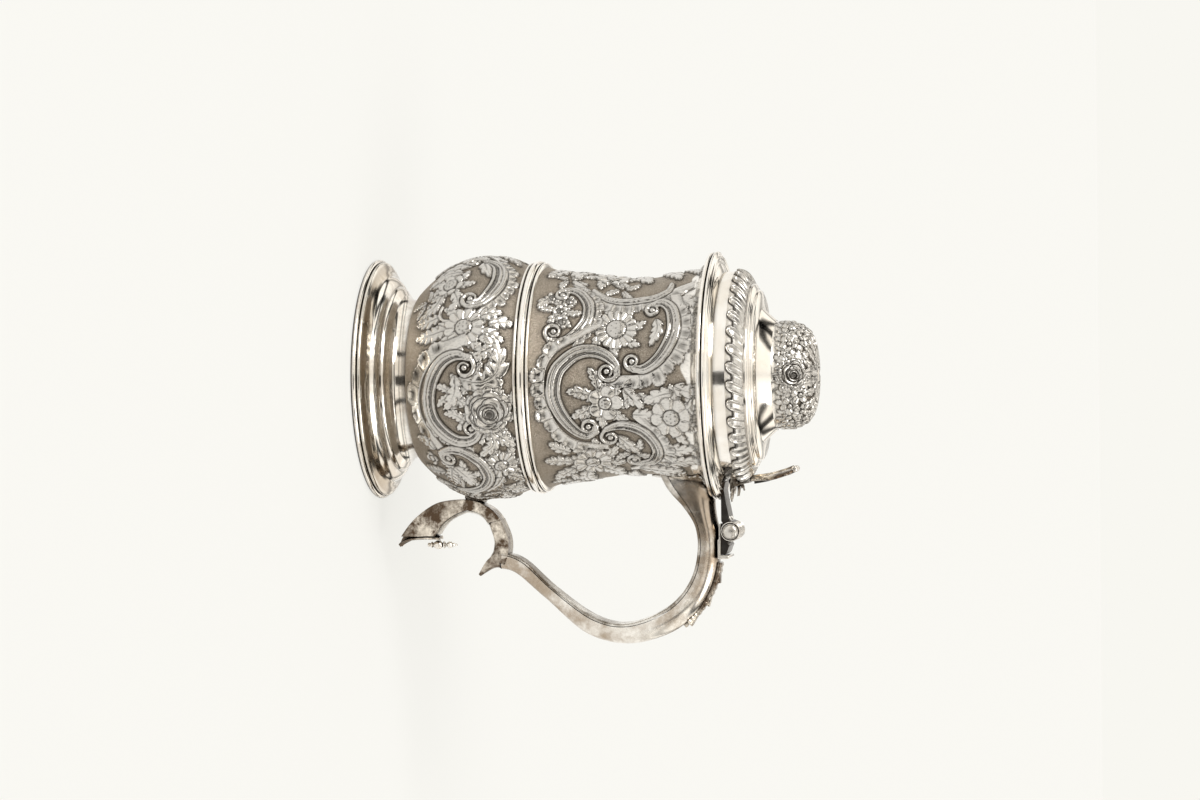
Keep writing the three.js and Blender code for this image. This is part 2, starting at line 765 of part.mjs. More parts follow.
function makeLowerScroll() {
  const scroll = swept(lowerLine, 8, lowerSection);
  const guard = [0.84, 0.9, 0.95, 1].map((t) => scrollStation(t, () => squareSection(handleDepth(t))));
  for (let k = 1; k <= 6; k += 1) guard.push(spurStation(k / 6, (t) => squareSection(spurDepth(t))));
  const beyond = plate([
    handlePoint(0, 50.5, -11.5), handlePoint(0, 63.9, -11.5), handlePoint(0, 63.9, 20.9),
    handlePoint(0, 38.9, 20.9),
    handlePoint(0, 40.7, 7.6), handlePoint(0, 42.4, 0.3), handlePoint(0, 46.3, -4.7),
  ], -handleEndWidth, handleEndWidth);
  add(bodyGroup, 'lower_scroll', without(scroll, lofted(guard), beyond));
}

// Terminal: it swells downwards from the joint line, and its front is cut flat for the shield.
function makeTerminal() {
  const joint = stationAt(lowerLine, 1, lowerSection);
  const heading = lowerLine.getTangentAt(1);
  const start = joint.place.clone().addScaledVector(heading, seat);
  const corner = (out) => start.clone().addScaledVector(joint.outward, out);
  const outline = [
    corner(-jointDepth / 2), handlePoint(0, 3.7, -3.5), handlePoint(0, 0.6, -10.7),
    handlePoint(0, -0.1, -18.8), handlePoint(0, 1.2, -32), handlePoint(0, 4.3, -39.6),
    handlePoint(0, 10.6, -48.6),
    handlePoint(0, 16.9, -54.9), frontPoint(0, -60.8), frontPoint(0, -36.1),
    handlePoint(0, 20.4, -33.6), handlePoint(0, 15.1, -28.8), handlePoint(0, 11.6, -22.9),
    handlePoint(0, 9.3, -15.9),
    handlePoint(0, 10.1, -7.6), handlePoint(0, 12.8, -2.6), corner(jointDepth / 2),
  ];
  const half = terminalWidth / 2;
  const middle = plate(outline, -half * 0.72, half * 0.72);
  const cheek = handlePoint(0, 11.7, -23.2);
  const narrowed = outline.map((corner) => corner.clone().lerp(cheek, 0.02));
  const wide = plate(narrowed.map((corner) => corner.clone().lerp(cheek, 0.06)), -half, half);
  add(bodyGroup, 'handle_terminal', without(joined(middle, wide), bodyCutter()));
}

// Shield: the plate on the terminal's front, ending in a point that turns outwards.
function makeShield() {
  const half = terminalWidth / 2;
  const side = [
    frontPoint(seat, -34.7), frontPoint(seat, -59.3), frontPoint(seat + 1.6, -62),
    frontPoint(seat + 4.6, -63.4), frontPoint(seat + 2.6, -60.2), frontPoint(seat + 1.1, -56.1),
    frontPoint(seat + 0.9, -49.6), frontPoint(seat + 1.2, -35.8),
  ];
  const front = new THREE.Shape();
  const top = handlePoint(0, 0, -34.4).y;
  const tip = handlePoint(0, 0, -64).y;
  const middle = (top + tip) / 2;
  front.moveTo(0, tip);
  front.quadraticCurveTo(half * 0.7, tip + 2.6, half, middle);
  front.quadraticCurveTo(half * 1.1, top - 2, half * 0.5, top - 0.3);
  front.quadraticCurveTo(0, top + 0.6, -half * 0.5, top - 0.3);
  front.quadraticCurveTo(-half * 1.1, top - 2, -half, middle);
  front.quadraticCurveTo(-half * 0.7, tip + 2.6, 0, tip);
  const block = new THREE.ExtrudeGeometry(front, { depth: 20, bevelEnabled: false, curveSegments: 4 });
  block.rotateX(Math.PI / 2).rotateZ(Math.PI / 2).translate(frontPoint(seat, 0).x - 5, 0, 0);
  add(bodyGroup, 'terminal_shield', common(plate(side, -half * 1.2, half * 1.2), block), wornSilver);
}

// Bud: a small turned finial with a ball, standing on the shield's upper edge.
function makeBud() {
  const foot = frontPoint(seat + 3.4, -44.6);
  const sizes = [
    [0, 0], [0.9, 0.4], [1.5, 1.6], [1.1, 2.9], [1.8, 3.4], [2.1, 4.9], [1.8, 6.4], [1.1, 7.1], [1.9, 7.7],
    [1.9, 8.6], [1.1, 9.2], [1.6, 10.4], [1.3, 12.2], [0.8, 13.6], [0, 14.2],
  ];
  const profile = sizes.map(([radius, up]) => point(radius, up));
  const bud = new THREE.LatheGeometry(profile, 12).rotateX(Math.PI / 2).translate(foot.x, 0, foot.y);
  const stem = new THREE.BoxGeometry(2.4, 1.6, 3.2).translate(foot.x - 1.2, 0, foot.y + 4.6);
  const shieldFace = frontPoint(seat + 1.2 + seat, 0).x;
  const keepAway = new THREE.BoxGeometry(6, 20, 60).translate(shieldFace - 3, 0, foot.y + 2);
  add(bodyGroup, 'terminal_bud', without(joined(bud, stem), keepAway), wornSilver);
}

// Boss: the pad between the terminal and the belly.
function makeBoss() {
  const centre = handlePoint(0, 0, -10.6).y;
  const pad = new THREE.Shape();
  pad.absellipse(0, 0, bossHeight / 2, bossWidth / 2, 0, Math.PI * 2, false, 0);
  const block = new THREE.ExtrudeGeometry(pad, { depth: 12, bevelEnabled: false, curveSegments: 14 });
  block.rotateY(Math.PI / 2).translate(bodyRadiusAt(centre) - 6, 0, centre);
  const back = [
    handlePoint(0, 37.4, 6.2), handlePoint(0, 7.5, 1.8), handlePoint(0, 3.1, -3.2), handlePoint(0, 0, -10.6),
    handlePoint(0, -0.7, -18.8), handlePoint(0, 0.1, -29.1), handlePoint(0, 37.4, -29.1),
  ];
  const terminalGuard = plate(back, -bossWidth, bossWidth);
  add(bodyGroup, 'lower_joint_boss', without(block, bodyCutter(), terminalGuard));
}

// Leaf plate: a thin shaped plate on the body, round the root of the handle.
function makeJointLeaf() {
  const low = throatHeight - 19.5;
  const high = lipHeight - lipThickness - 2.6;
  const half = handleRootWidth / 2 + leafPlateReach;
  const middle = (low + high) / 2 + 3;
  const leaf = new THREE.Shape();
  leaf.moveTo(0, low);
  leaf.quadraticCurveTo(half * 0.55, low + 2, half * 0.8, middle - 3);
  leaf.quadraticCurveTo(half * 1.05, middle + 3, half, high);
  leaf.lineTo(-half, high);
  leaf.quadraticCurveTo(-half * 1.05, middle + 3, -half * 0.8, middle - 3);
  leaf.quadraticCurveTo(-half * 0.55, low + 2, 0, low);
  const block = new THREE.ExtrudeGeometry(leaf, { depth: lipRadius, bevelEnabled: false, curveSegments: 5 });
  block.rotateX(Math.PI / 2).rotateZ(Math.PI / 2);
  const underLip = lipHeight - lipThickness - 0.5;
  const profile = bodyProfile().filter((corner) => corner.y > low - 9 && corner.y < underLip);
  const shell = turned([
    ...grown(profile, seat + leafPlateThickness), ...grown(profile, seat).reverse(),
    grown(profile, seat + leafPlateThickness)[0],
  ]);
  const root = sweptScroll(scrollSteps, wholeSection);
  add(bodyGroup, 'upper_joint_leaf', without(common(shell, block), root), wornSilver);
}

// Height of the handle's back at a place along X, near the hinge.
function handleTopAt(x) {
  let best = 0;
  for (let t = 0.1; t < 0.5; t += 0.005) {
    const station = scrollStation(t, () => []);
    const top = station.place.clone().addScaledVector(station.outward, handleDepth(t) / 2);
    if (Math.abs(top.x - x) < 4 && top.y > best) best = top.y;
  }
  return best;
}

// Hinge: five knuckles on one pin. The outer two and the middle one are fixed to the saddle.
const hingeX = lipRadius + hingeReach;
const hinge = point(hingeX, handleTopAt(hingeX) + seat + saddleWeb + runningGap + barrelRadius);
const knucklePitch = knuckleLength + runningGap;

function knuckle(index) {
  const fromY = (index - 2.5) * knucklePitch + runningGap / 2;
  const tube = crossBar(hinge.x, hinge.y, barrelRadius, fromY, fromY + knuckleLength);
  const bore = crossBar(hinge.x, hinge.y, pinRadius + pinClearance, fromY - 1, fromY + knuckleLength + 1);
  return without(tube, bore);
}

function makeHinge() {
  add(bodyGroup, 'handle_knuckle_front', knuckle(0));
  add(lidGroup, 'lid_knuckle_front', knuckle(1));
  add(bodyGroup, 'handle_knuckle_middle', knuckle(2));
  add(lidGroup, 'lid_knuckle_rear', knuckle(3));
  add(bodyGroup, 'handle_knuckle_rear', knuckle(4));
  const end = 2.5 * knucklePitch;
  add(bodyGroup, 'hinge_pin', crossBar(hinge.x, hinge.y, pinRadius, -end, end));
  const headSeat = end + seat;
  const headEnd = headSeat + pinHeadThickness;
  add(bodyGroup, 'pin_head_front', crossBar(hinge.x, hinge.y, pinHeadRadius, -headEnd, -headSeat));
  add(bodyGroup, 'pin_head_rear', crossBar(hinge.x, hinge.y, pinHeadRadius, headSeat, headEnd));
}

// Saddle: soldered on the back of the handle, hollowed round the barrel.
function makeSaddle() {
  const underside = handleTopAt(hinge.x) + seat;
  const tailEnd = hinge.x + saddleTail;
  const top = underside + saddleThickness;
  const half = 2.5 * knucklePitch - runningGap / 2;
  const side = [
    point(hinge.x - saddleFront, underside), point(tailEnd, underside), point(tailEnd + 0.4, top),
    point(tailEnd - 0.6, hinge.y - 1.8), point(tailEnd - 4, hinge.y - 0.8), point(hinge.x + 3, hinge.y + 0.4),
    point(hinge.x, top + 1), point(hinge.x - saddleFront, top),
  ];
  const barrel = crossBar(hinge.x, hinge.y, barrelRadius + runningGap, -half - 1, half + 1, tubeTurns * 2);
  add(bodyGroup, 'hinge_plate', without(plate(side, -half, half), barrel));
}

// Strap: it lies on the lid's flange and reaches the lid's knuckles.
function makeLidStrap() {
  const low = lidUnder + 1.5;
  const strapEnd = hinge.x - barrelRadius;
  const side = [
    point(lidWallRadius - 1, low), point(strapEnd, low), point(strapEnd, hinge.y - 0.9),
    point(flangeRadius, lidUnder + 3.9), point(lidWallRadius - 1, lidUnder + 5.2),
  ];
  const half = strapWidth / 2;
  const barrel = crossBar(hinge.x, hinge.y, barrelRadius + runningGap, -half - 1, half + 1, tubeTurns * 2);
  add(lidGroup, 'lid_strap', without(plate(side, -half, half), barrel, lidCutter()));
}

// Hinge drop: a strip down the back of the handle with three cast leaves on it.
const dropStart = 0.255;
const dropEnd = 0.405;

function dropSection(low, high, half) {
  return [
    point(low, half), point(low, -half), point((low + high) / 2, -half), point(high, -half * 0.5),
    point(high, half * 0.5), point((low + high) / 2, half),
  ];
}

function dropPiece(from, to, low, high, halfWidth, steps) {
  const stations = [];
  for (let k = 0; k <= steps; k += 1) {
    const t = THREE.MathUtils.lerp(from, to, k / steps);
    const surface = handleDepth(t) / 2 + seat;
    const section = dropSection(surface + low, surface + high(k / steps), halfWidth(k / steps));
    stations.push(scrollStation(t, () => section));
  }
  return lofted(stations);
}

function makeHingeDrop() {
  const strip = dropPiece(dropStart, dropEnd, 0, () => dropThickness, () => dropWidth / 2, 10);
  add(bodyGroup, 'hinge_drop_strip', strip, wornSilver);
  const leaves = [
    { name: 'hinge_drop_leaf_upper', from: 0.258, to: 0.29, rise: 2.9 },
    { name: 'hinge_drop_leaf_middle', from: 0.298, to: 0.34, rise: 2.2 },
    { name: 'hinge_drop_leaf_lower', from: 0.348, to: 0.394, rise: 2.7 },
  ];
  for (const { name, from, to, rise } of leaves) {
    const low = dropThickness + seat;
    const high = (u) => low + 0.7 + (rise - 0.7) * u;
    const half = (u) => dropWidth / 2 * (0.45 + 0.5 * Math.sin(Math.PI * (0.25 + 0.6 * u)));
    add(bodyGroup, name, dropPiece(from, to, low, high, half, 4), wornSilver);
  }
}

// Thumbpiece leaf: it covers the lid's wall above the strap and carries the thumbpiece.
function makeThumbLeaf() {
  const top = lidUnder + leafHeight;
  const low = lidUnder + lidWallBase + 2;
  const side = [
    point(lidWallRadius - 4, top), point(lidWallRadius - 4, low - 1), point(lidWallRadius, low - 0.2),
    point(flangeRadius, lidUnder + 4.4), point(flangeRadius + 1.2, lidUnder + 5.2),
    point(flangeRadius - 3.2, lidUnder + 7.8), point(lidWallRadius + 3.4, top - 3.4),
    point(lidWallRadius + 1.6, top),
  ];
  const leaf = plate(side, -leafWidth / 2, leafWidth / 2);
  add(lidGroup, 'thumbpiece_leaf', without(leaf, lidCutter()), wornSilver);
}

function makeThumbpiece() {
  const root = point(lidWallRadius - 0.4, lidUnder + leafHeight + seat);
  const tip = point(root.x - thumbLean, root.y + thumbHeight - thumbRollRadius);
  const line = new THREE.SplineCurve([
    root, point(root.x - thumbLean * 0.2, root.y + thumbHeight * 0.35),
    point(root.x - thumbLean * 0.62, root.y + thumbHeight * 0.7), tip,
  ]);
  const half = (t) => along([0, 0.18, 0.55, 0.8, 1],
    [thumbRootWidth, thumbRootWidth * 0.8, thumbWidth, thumbWidth * 0.86, thumbWidth * 0.6], t) / 2;
  const bow = 1.6;
  const section = (t) => [
    point(-thumbThickness / 2 - bow, half(t)), point(-thumbThickness / 2, 0),
    point(-thumbThickness / 2 - bow, -half(t)), point(thumbThickness / 2 - bow, -half(t)),
    point(thumbThickness / 2, 0), point(thumbThickness / 2 - bow, half(t)),
  ];
  const blade = swept(line, 10, section);
  const rollHalf = thumbWidth * 0.36;
  const roll = crossBar(tip.x - 0.4, tip.y, thumbRollRadius, -rollHalf, rollHalf, 12);
  add(lidGroup, 'thumbpiece', joined(blade, roll));
}

makeFoot();
makeBody();
makeGirdle();
makeLid();
makeBezel();
makeDome();
makeHandle();
makeSpur();
makeLowerScroll();
makeTerminal();
makeShield();
makeBud();
makeBoss();
makeJointLeaf();
makeHinge();
makeSaddle();
makeLidStrap();
makeHingeDrop();
makeThumbLeaf();
makeThumbpiece();

// The origin is the middle of the bottom of the whole tankard's box.
const box = new THREE.Box3().setFromObject(tankard);
tankard.position.x = -(box.min.x + box.max.x) / 2;

export default tankard;
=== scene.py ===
import math

import bpy
import numpy as np
from mathutils import Matrix, Vector


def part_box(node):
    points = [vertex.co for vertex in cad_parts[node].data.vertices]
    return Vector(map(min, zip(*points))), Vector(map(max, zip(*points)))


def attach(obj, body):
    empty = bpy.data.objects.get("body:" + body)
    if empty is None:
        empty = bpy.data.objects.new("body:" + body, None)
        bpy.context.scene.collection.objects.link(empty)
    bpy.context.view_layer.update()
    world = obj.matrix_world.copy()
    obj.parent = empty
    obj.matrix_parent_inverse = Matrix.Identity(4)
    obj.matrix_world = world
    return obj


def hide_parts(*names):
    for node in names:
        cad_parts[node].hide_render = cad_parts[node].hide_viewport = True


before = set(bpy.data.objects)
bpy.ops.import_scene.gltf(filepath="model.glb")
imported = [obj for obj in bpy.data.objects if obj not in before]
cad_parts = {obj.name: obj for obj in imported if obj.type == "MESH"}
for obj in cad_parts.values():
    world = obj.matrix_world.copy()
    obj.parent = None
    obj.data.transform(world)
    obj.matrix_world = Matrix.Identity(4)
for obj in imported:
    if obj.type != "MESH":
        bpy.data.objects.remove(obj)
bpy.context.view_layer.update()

# Foot rim wire
# A drawn wire of half-round section, bent to a ring and soldered under the edge of the foot.
# The tankard stands on it. All round pieces share the axis of this ring. Sizes are in millimetres.
MM = 0.001
rim_low, rim_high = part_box("foot_rim_wire")
axis_x = (rim_low.x + rim_high.x) / 2
foot_radius = 54
wire_height = 2.3


def smooth_line(points, steps):
    """A smooth line through points in a plane."""
    line = []
    last = len(points) - 1
    for i in range(last):
        before, here = np.array(points[max(i - 1, 0)]), np.array(points[i])
        there, beyond = np.array(points[i + 1]), np.array(points[min(i + 2, last)])
        for k in range(steps):
            t = k / steps
            bend = (there - before) * t + (2 * before - 5 * here + 4 * there - beyond) * t * t
            line.append(tuple(here + (bend + (3 * here - before - 3 * there + beyond) * t ** 3) / 2))
    line.append(tuple(points[-1]))
    return line


def arc(centre, radius, start, end, steps=8):
    """An arc of a profile, from one angle to another in degrees."""
    turn = [math.radians(start + (end - start) * k / steps) for k in range(steps + 1)]
    return [(centre[0] + radius * math.cos(a), centre[1] + radius * math.sin(a)) for a in turn]


def drawn_profile(name, points, centre=0):
    """A chain of edges in the handle's plane, drawn on from a single vertex, left in edit mode."""
    bpy.ops.object.select_all(action="DESELECT")
    bpy.ops.mesh.primitive_plane_add(size=0.001, location=(axis_x + centre * MM, 0, 0))
    piece = bpy.context.object
    piece.name = piece.data.name = name
    bpy.ops.object.mode_set(mode="EDIT")
    bpy.ops.mesh.select_all(action="SELECT")
    bpy.ops.mesh.merge(type="CENTER")
    bpy.ops.transform.translate(value=(points[0][0] * MM, 0, points[0][1] * MM))
    for (x0, z0), (x1, z1) in zip(points, points[1:]):
        move = ((x1 - x0) * MM, 0, (z1 - z0) * MM)
        bpy.ops.mesh.extrude_region_move(TRANSFORM_OT_translate={"value": move})
    return piece


def open_edit(piece):
    """Selects a piece alone and opens it for editing."""
    bpy.ops.object.select_all(action="DESELECT")
    piece.select_set(True)
    bpy.context.view_layer.objects.active = piece
    bpy.ops.object.mode_set(mode="EDIT")


def close_edit(smooth_to):
    """Merges doubles, turns the faces outwards, and brings the piece's origin to the frame's."""
    bpy.ops.mesh.select_all(action="SELECT")
    bpy.ops.mesh.remove_doubles(threshold=2e-6)
    bpy.ops.mesh.normals_make_consistent(inside=False)
    bpy.ops.object.mode_set(mode="OBJECT")
    bpy.ops.object.transform_apply(location=True, rotation=True, scale=True)
    bpy.ops.object.shade_smooth_by_angle(angle=math.radians(smooth_to))


def turned(name, profile, steps=240, smooth_to=35, angle=math.tau, centre=0):
    """A ring or a shell turned on an upright axis, from (radius, height) points."""
    piece = drawn_profile(name, profile, centre)
    bpy.ops.object.mode_set(mode="OBJECT")
    turn = piece.modifiers.new("turn", "SCREW")
    turn.angle = angle
    turn.steps = turn.render_steps = steps
    bpy.ops.object.modifier_apply(modifier=turn.name)
    bpy.ops.object.mode_set(mode="EDIT")
    close_edit(smooth_to)
    return piece


def fit(piece, body, slot, material, *nodes):
    """Gives a finished piece its body, its material, and the solids that it stands for. The slot is not
    used.
    """
    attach(piece, body)
    piece.data.materials.clear()
    piece.data.materials.append(material)
    if nodes:
        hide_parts(*nodes)


def node_group(name, outputs):
    """An empty shader node group with the named (socket, type) outputs."""
    group = bpy.data.node_groups.new(name, "ShaderNodeTree")
    for socket, kind in outputs:
        group.interface.new_socket(socket, in_out="OUTPUT", socket_type=kind)
    group.nodes.new("NodeGroupOutput").name = "out"
    return group


def node(tree, kind, **values):
    """A new node, with its settings and the plain values of its inputs."""
    made = tree.nodes.new(kind)
    for key, value in values.items():
        if key in made.inputs:
            made.inputs[key].default_value = value
        else:
            setattr(made, key, value)
    return made


def ramp(tree, source, stops):
    """A colour ramp over a value; the stops are (place, colour or grey)."""
    made = tree.nodes.new("ShaderNodeValToRGB")
    for k, (place, colour) in enumerate(stops):
        stop = made.color_ramp.elements[k] if k < 2 else made.color_ramp.elements.new(place)
        stop.position = place
        stop.color = (colour, colour, colour, 1) if isinstance(colour, (int, float)) else (*colour, 1)
    tree.links.new(source, made.inputs["Fac"])
    return made.outputs["Color"]


def mix(tree, share, first, second, blend="MIX"):
    """Two colours mixed by a value or a link."""
    made = node(tree, "ShaderNodeMix", data_type="RGBA", blend_type=blend)
    for socket, value in ((0, share), (6, first), (7, second)):
        if isinstance(value, bpy.types.NodeSocket):
            tree.links.new(value, made.inputs[socket])
        else:
            made.inputs[socket].default_value = value if isinstance(value, (int, float)) else (*value, 1)
    return made.outputs[2]


def object_noise(tree, scale, detail, roughness, stretch=(1, 1, 1)):
    """Noise over the piece's own coordinates, in parts of a metre."""
    place = tree.nodes.new("ShaderNodeTexCoord")
    sized = node(tree, "ShaderNodeMapping", Scale=stretch)
    tree.links.new(place.outputs["Object"], sized.inputs["Vector"])
    noise = node(tree, "ShaderNodeTexNoise", Scale=scale, Detail=detail, Roughness=roughness)
    tree.links.new(sized.outputs["Vector"], noise.inputs["Vector"])
    return noise.outputs["Fac"]


def hollow_shade_of(tree, distance, stops):
    """How far a place is closed in by what is near it: painted shade in hollows, and the tarnish that
    gathers where a cloth doesn't reach.
    """
    occluded_shade = node(tree, "ShaderNodeAmbientOcclusion", samples=6, Distance=distance)
    return ramp(tree, occluded_shade.outputs["AO"], stops)


def times(tree, value, factor):
    """A value multiplied by a factor."""
    made = node(tree, "ShaderNodeMath", operation="MULTIPLY")
    made.inputs[1].default_value = factor
    tree.links.new(value, made.inputs[0])
    return made.outputs[0]


def between(tree, value, low, high, start=0, end=1):
    """A value from low to high, spread from start to end."""
    limits = {"From Min": low, "From Max": high, "To Min": start, "To Max": end}
    made = node(tree, "ShaderNodeMapRange", **limits)
    tree.links.new(value, made.inputs["Value"])
    return made.outputs["Result"]


def axis_of(tree, place, axis):
    """One axis of the piece's own coordinates, or of the direction that a world is seen in."""
    source = tree.nodes.new("ShaderNodeTexCoord")
    axes = tree.nodes.new("ShaderNodeSeparateXYZ")
    tree.links.new(source.outputs[place], axes.inputs["Vector"])
    return axes.outputs[axis]


def paint(name, metallic=0):
    """A new material, with its node tree and its shader."""
    material = bpy.data.materials.new(name)
    material.use_nodes = True
    shader = material.node_tree.nodes["Principled BSDF"]
    shader.inputs["Metallic"].default_value = metallic
    return material, material.node_tree, shader


# Silver's wear: random stains, haze and dents, and a darkening of hollows from occlusion that is part
# tarnish and part painted shade.
wear_and_shade = node_group("wear and shade of silver", [("Stain", "NodeSocketFloat"), ("Haze", "NodeSocketFloat"),
                                     ("Tarnish and shade", "NodeSocketFloat"), ("Normal", "NodeSocketVector")])
stain = ramp(wear_and_shade, object_noise(wear_and_shade, 38, 8, 0.66), [(0.44, 0), (0.58, 1)])
haze = ramp(wear_and_shade, object_noise(wear_and_shade, 130, 8, 0.7), [(0.42, 0), (0.66, 1)])
hollow_shade = hollow_shade_of(wear_and_shade, 0.0022, [(0.5, 1), (0.9, 0)])
dents = node(wear_and_shade, "ShaderNodeBump", Strength=0.12, Distance=0.0004)
wear_and_shade.links.new(object_noise(wear_and_shade, 70, 3, 0.5), dents.inputs["Height"])
wear_values = (("Stain", stain), ("Haze", haze), ("Tarnish and shade", hollow_shade), ("Normal", dents.outputs["Normal"]))
for socket, source in wear_values:
    wear_and_shade.links.new(source, wear_and_shade.nodes["out"].inputs[socket])


def silver(name, colour, stain_colour, stain_share, roughness, cloud_share=0.5):
    """Silver with tarnish: a metal whose colour and polish follow the wear group, and whose hollows are
    darkened near black as tarnish and painted shade.
    """
    material, tree, shader = paint(name, 1)
    worn_and_shaded = node(tree, "ShaderNodeGroup", node_tree=wear_and_shade)
    clouded = mix(tree, times(tree, worn_and_shaded.outputs["Haze"], cloud_share), colour, stain_colour)
    stained = mix(tree, times(tree, worn_and_shaded.outputs["Stain"], stain_share), clouded, stain_colour)
    # Painted shade and tarnish: near black where the piece is closed in.
    tarnished_and_shaded = mix(tree, worn_and_shaded.outputs["Tarnish and shade"], stained, (0.045, 0.034, 0.024))
    tree.links.new(tarnished_and_shaded, shader.inputs["Base Color"])
    polish = node(tree, "ShaderNodeMath", operation="MULTIPLY_ADD")
    polish.inputs[1].default_value = roughness * 0.5
    polish.inputs[2].default_value = roughness * 0.75
    tree.links.new(worn_and_shaded.outputs["Haze"], polish.inputs[0])
    tree.links.new(polish.outputs[0], shader.inputs["Roughness"])
    tree.links.new(worn_and_shaded.outputs["Normal"], shader.inputs["Normal"])
    return material


bright_silver = silver("bright silver", (0.985, 0.955, 0.90), (0.72, 0.62, 0.49), 0.3, 0.12, 0.16)

wire_inside = foot_radius - 2.6
wire = [(wire_inside, 0), (foot_radius - 0.9, 0)]
wire += arc((foot_radius - 1.15, wire_height / 2), wire_height / 2, -75, 90)
wire += [(wire_inside, wire_height), (wire_inside, 0)]
rim_wire = turned("foot_rim_wire_ring", wire)
fit(rim_wire, "tankard", "silver", bright_silver, "foot_rim_wire")

# Foot
# Raised from sheet silver as a domed and stepped spread shell, then spun smooth. It is soldered to the
# bottom of the body. Its colour is painted in reflection bands by height, with a brown band above the
# rim wire and a dark line at the crease above the bead, and its hollows are darkened as tarnish and
# painted shade.
foot_height = 20
foot_face = arc((51.9, 3.2), 0.9, -90, 80, 6) + [(51.4, 4.3)]
foot_face += smooth_line([(51.2, 4.4), (50.2, 4.75), (48.5, 5.5), (46.7, 6.9)], 5)
foot_face += smooth_line([(46.5, 7.15), (45.5, 8.4), (43.9, 9.5), (41.9, 10.05)], 5)
foot_face += smooth_line([(41.7, 10.2), (41.5, 10.9), (40.7, 11.9), (38.9, 12.9), (37.7, 13.6)], 5)
foot_face += smooth_line([(37.5, 13.8), (36.4, 15.1), (35.6, 17.2), (35.1, 20.5)], 6)
foot_inside = [(33.6, 20.5), (33.8, 17), (35.2, 13.6), (38.6, 11.4), (40.1, 8.7), (44, 7.4), (48.6, 3.4),
               (50, 1.2)]
foot = turned("foot_shell", foot_face + foot_inside + [foot_face[0]])
foot_silver, foot_tree, foot_shader = paint("foot silver", 1)
foot_shader.inputs["Roughness"].default_value = 0.12
foot_level = between(foot_tree, axis_of(foot_tree, "Object", "Z"), 0, foot_height * MM)
# Painted reflection bands by height: a brown band above the rim wire and a dark line at the crease above the
# bead.
reflection_band_stops = [(0, (0.80, 0.76, 0.68)), (0.205, (0.86, 0.82, 0.74)), (0.225, (0.34, 0.27, 0.19)),
              (0.30, (0.56, 0.48, 0.37)), (0.345, (0.66, 0.60, 0.50)), (0.36, (0.96, 0.93, 0.87)),
              (0.5, (0.96, 0.93, 0.87)), (0.52, (0.5, 0.45, 0.38)), (0.545, (0.95, 0.92, 0.86)),
              (1, (0.95, 0.92, 0.86))]
foot_reflection_bands = ramp(foot_tree, foot_level, reflection_band_stops)
foot_patches = ramp(foot_tree, object_noise(foot_tree, 60, 6, 0.6), [(0.35, 0.0), (0.7, 1.0)])
foot_rubbed = mix(foot_tree, times(foot_tree, foot_patches, 0.45), foot_reflection_bands, (0.88, 0.86, 0.81))
foot_wear_and_shade = node(foot_tree, "ShaderNodeGroup", node_tree=wear_and_shade)
foot_stains = times(foot_tree, foot_wear_and_shade.outputs["Stain"], 0.5)
foot_stained = mix(foot_tree, foot_stains, foot_rubbed, (0.38, 0.29, 0.20))
# Painted shade and tarnish: near black where the foot is closed in.
foot_tarnish_and_shade = mix(foot_tree, foot_wear_and_shade.outputs["Tarnish and shade"], foot_stained, (0.06, 0.045, 0.03))
foot_tree.links.new(foot_tarnish_and_shade, foot_shader.inputs["Base Color"])
foot_tree.links.new(foot_wear_and_shade.outputs["Normal"], foot_shader.inputs["Normal"])
fit(foot, "tankard", "worn_silver", foot_silver, "foot")

# Body
# Raised from one sheet of silver to a baluster shape with an everted lip. The outside is embossed and
# chased with scrolls, flowers and leaves on a matted ground, in two zones, and its chased lines are dark
# with tarnish and with painted shade. Each zone has the same pattern on both sides.
belly_profile = smooth_line([(35.3, 20.6), (38, 21.1), (42.4, 25.2), (46.3, 29.9), (49.2, 34.2),
                             (51.4, 38.6), (53.1, 43.1), (54.1, 47.6), (54.4, 51.8), (54.2, 55.7),
                             (53.6, 60), (52.3, 64.4), (50.3, 69.6), (49.9, 72.2)], 8)
waist_profile = smooth_line([(49.9, 77.8), (49.4, 79), (47.9, 83.4), (47, 87.6), (46.6, 92.2),
                             (46.1, 96.7), (45.4, 101.3), (44.8, 106), (44.1, 110.4), (43.7, 115),
                             (43.6, 120), (43.7, 124.6), (44.3, 129.4), (45.2, 134), (45.9, 138.4),
                             (46.3, 142.7), (46.6, 146.6), (47.3, 149), (49.4, 150.7), (51.6, 151.6)], 8)
lip_profile = smooth_line([(51.2, 151.45), (51.6, 151.6), (52.6, 151.95), (54.4, 152.6)], 4)
lip_profile += arc((54.1, 153.6), 0.9, -70, 90, 6) + [(52.6, 154.5)]
lining_profile = smooth_line([(51.6, 154), (48.4, 151.8), (46, 149), (45.2, 146), (44.5, 139), (42.4, 124),
                              (42.4, 115), (45.4, 92), (48.5, 77), (52.9, 55), (52.6, 46), (49.6, 37),
                              (44.5, 29.5), (38, 23.4)], 4)
lining_profile += [(30, 22.2), (0, 22.2)]


def run_along(line):
    """The length run at each point of a line."""
    return np.concatenate([[0], np.cumsum(np.hypot(*np.diff(line, axis=0).T))])


def even(points, count):
    """The same line with a number of evenly spaced points."""
    line, run = np.array(points, float), run_along(points)
    there = np.linspace(0, run[-1], count)
    return np.stack([np.interp(there, run, line[:, 0]), np.interp(there, run, line[:, 1])], 1)


def walk(points, spacing):
    """The same line with points at about a spacing, and its length."""
    length = run_along(points)[-1]
    return even(points, max(2, int(round(length / spacing)) + 1)), length


def dome(n):
    """How high a round section stands at a share of its half width."""
    return np.sqrt(np.clip(1 - n ** 2, 0, 1))


def from_middle(count):
    """At a place counted in petals: 0 in the middle of a petal and 1 at its sides."""
    return np.abs(count - np.floor(count) - 0.5) * 2


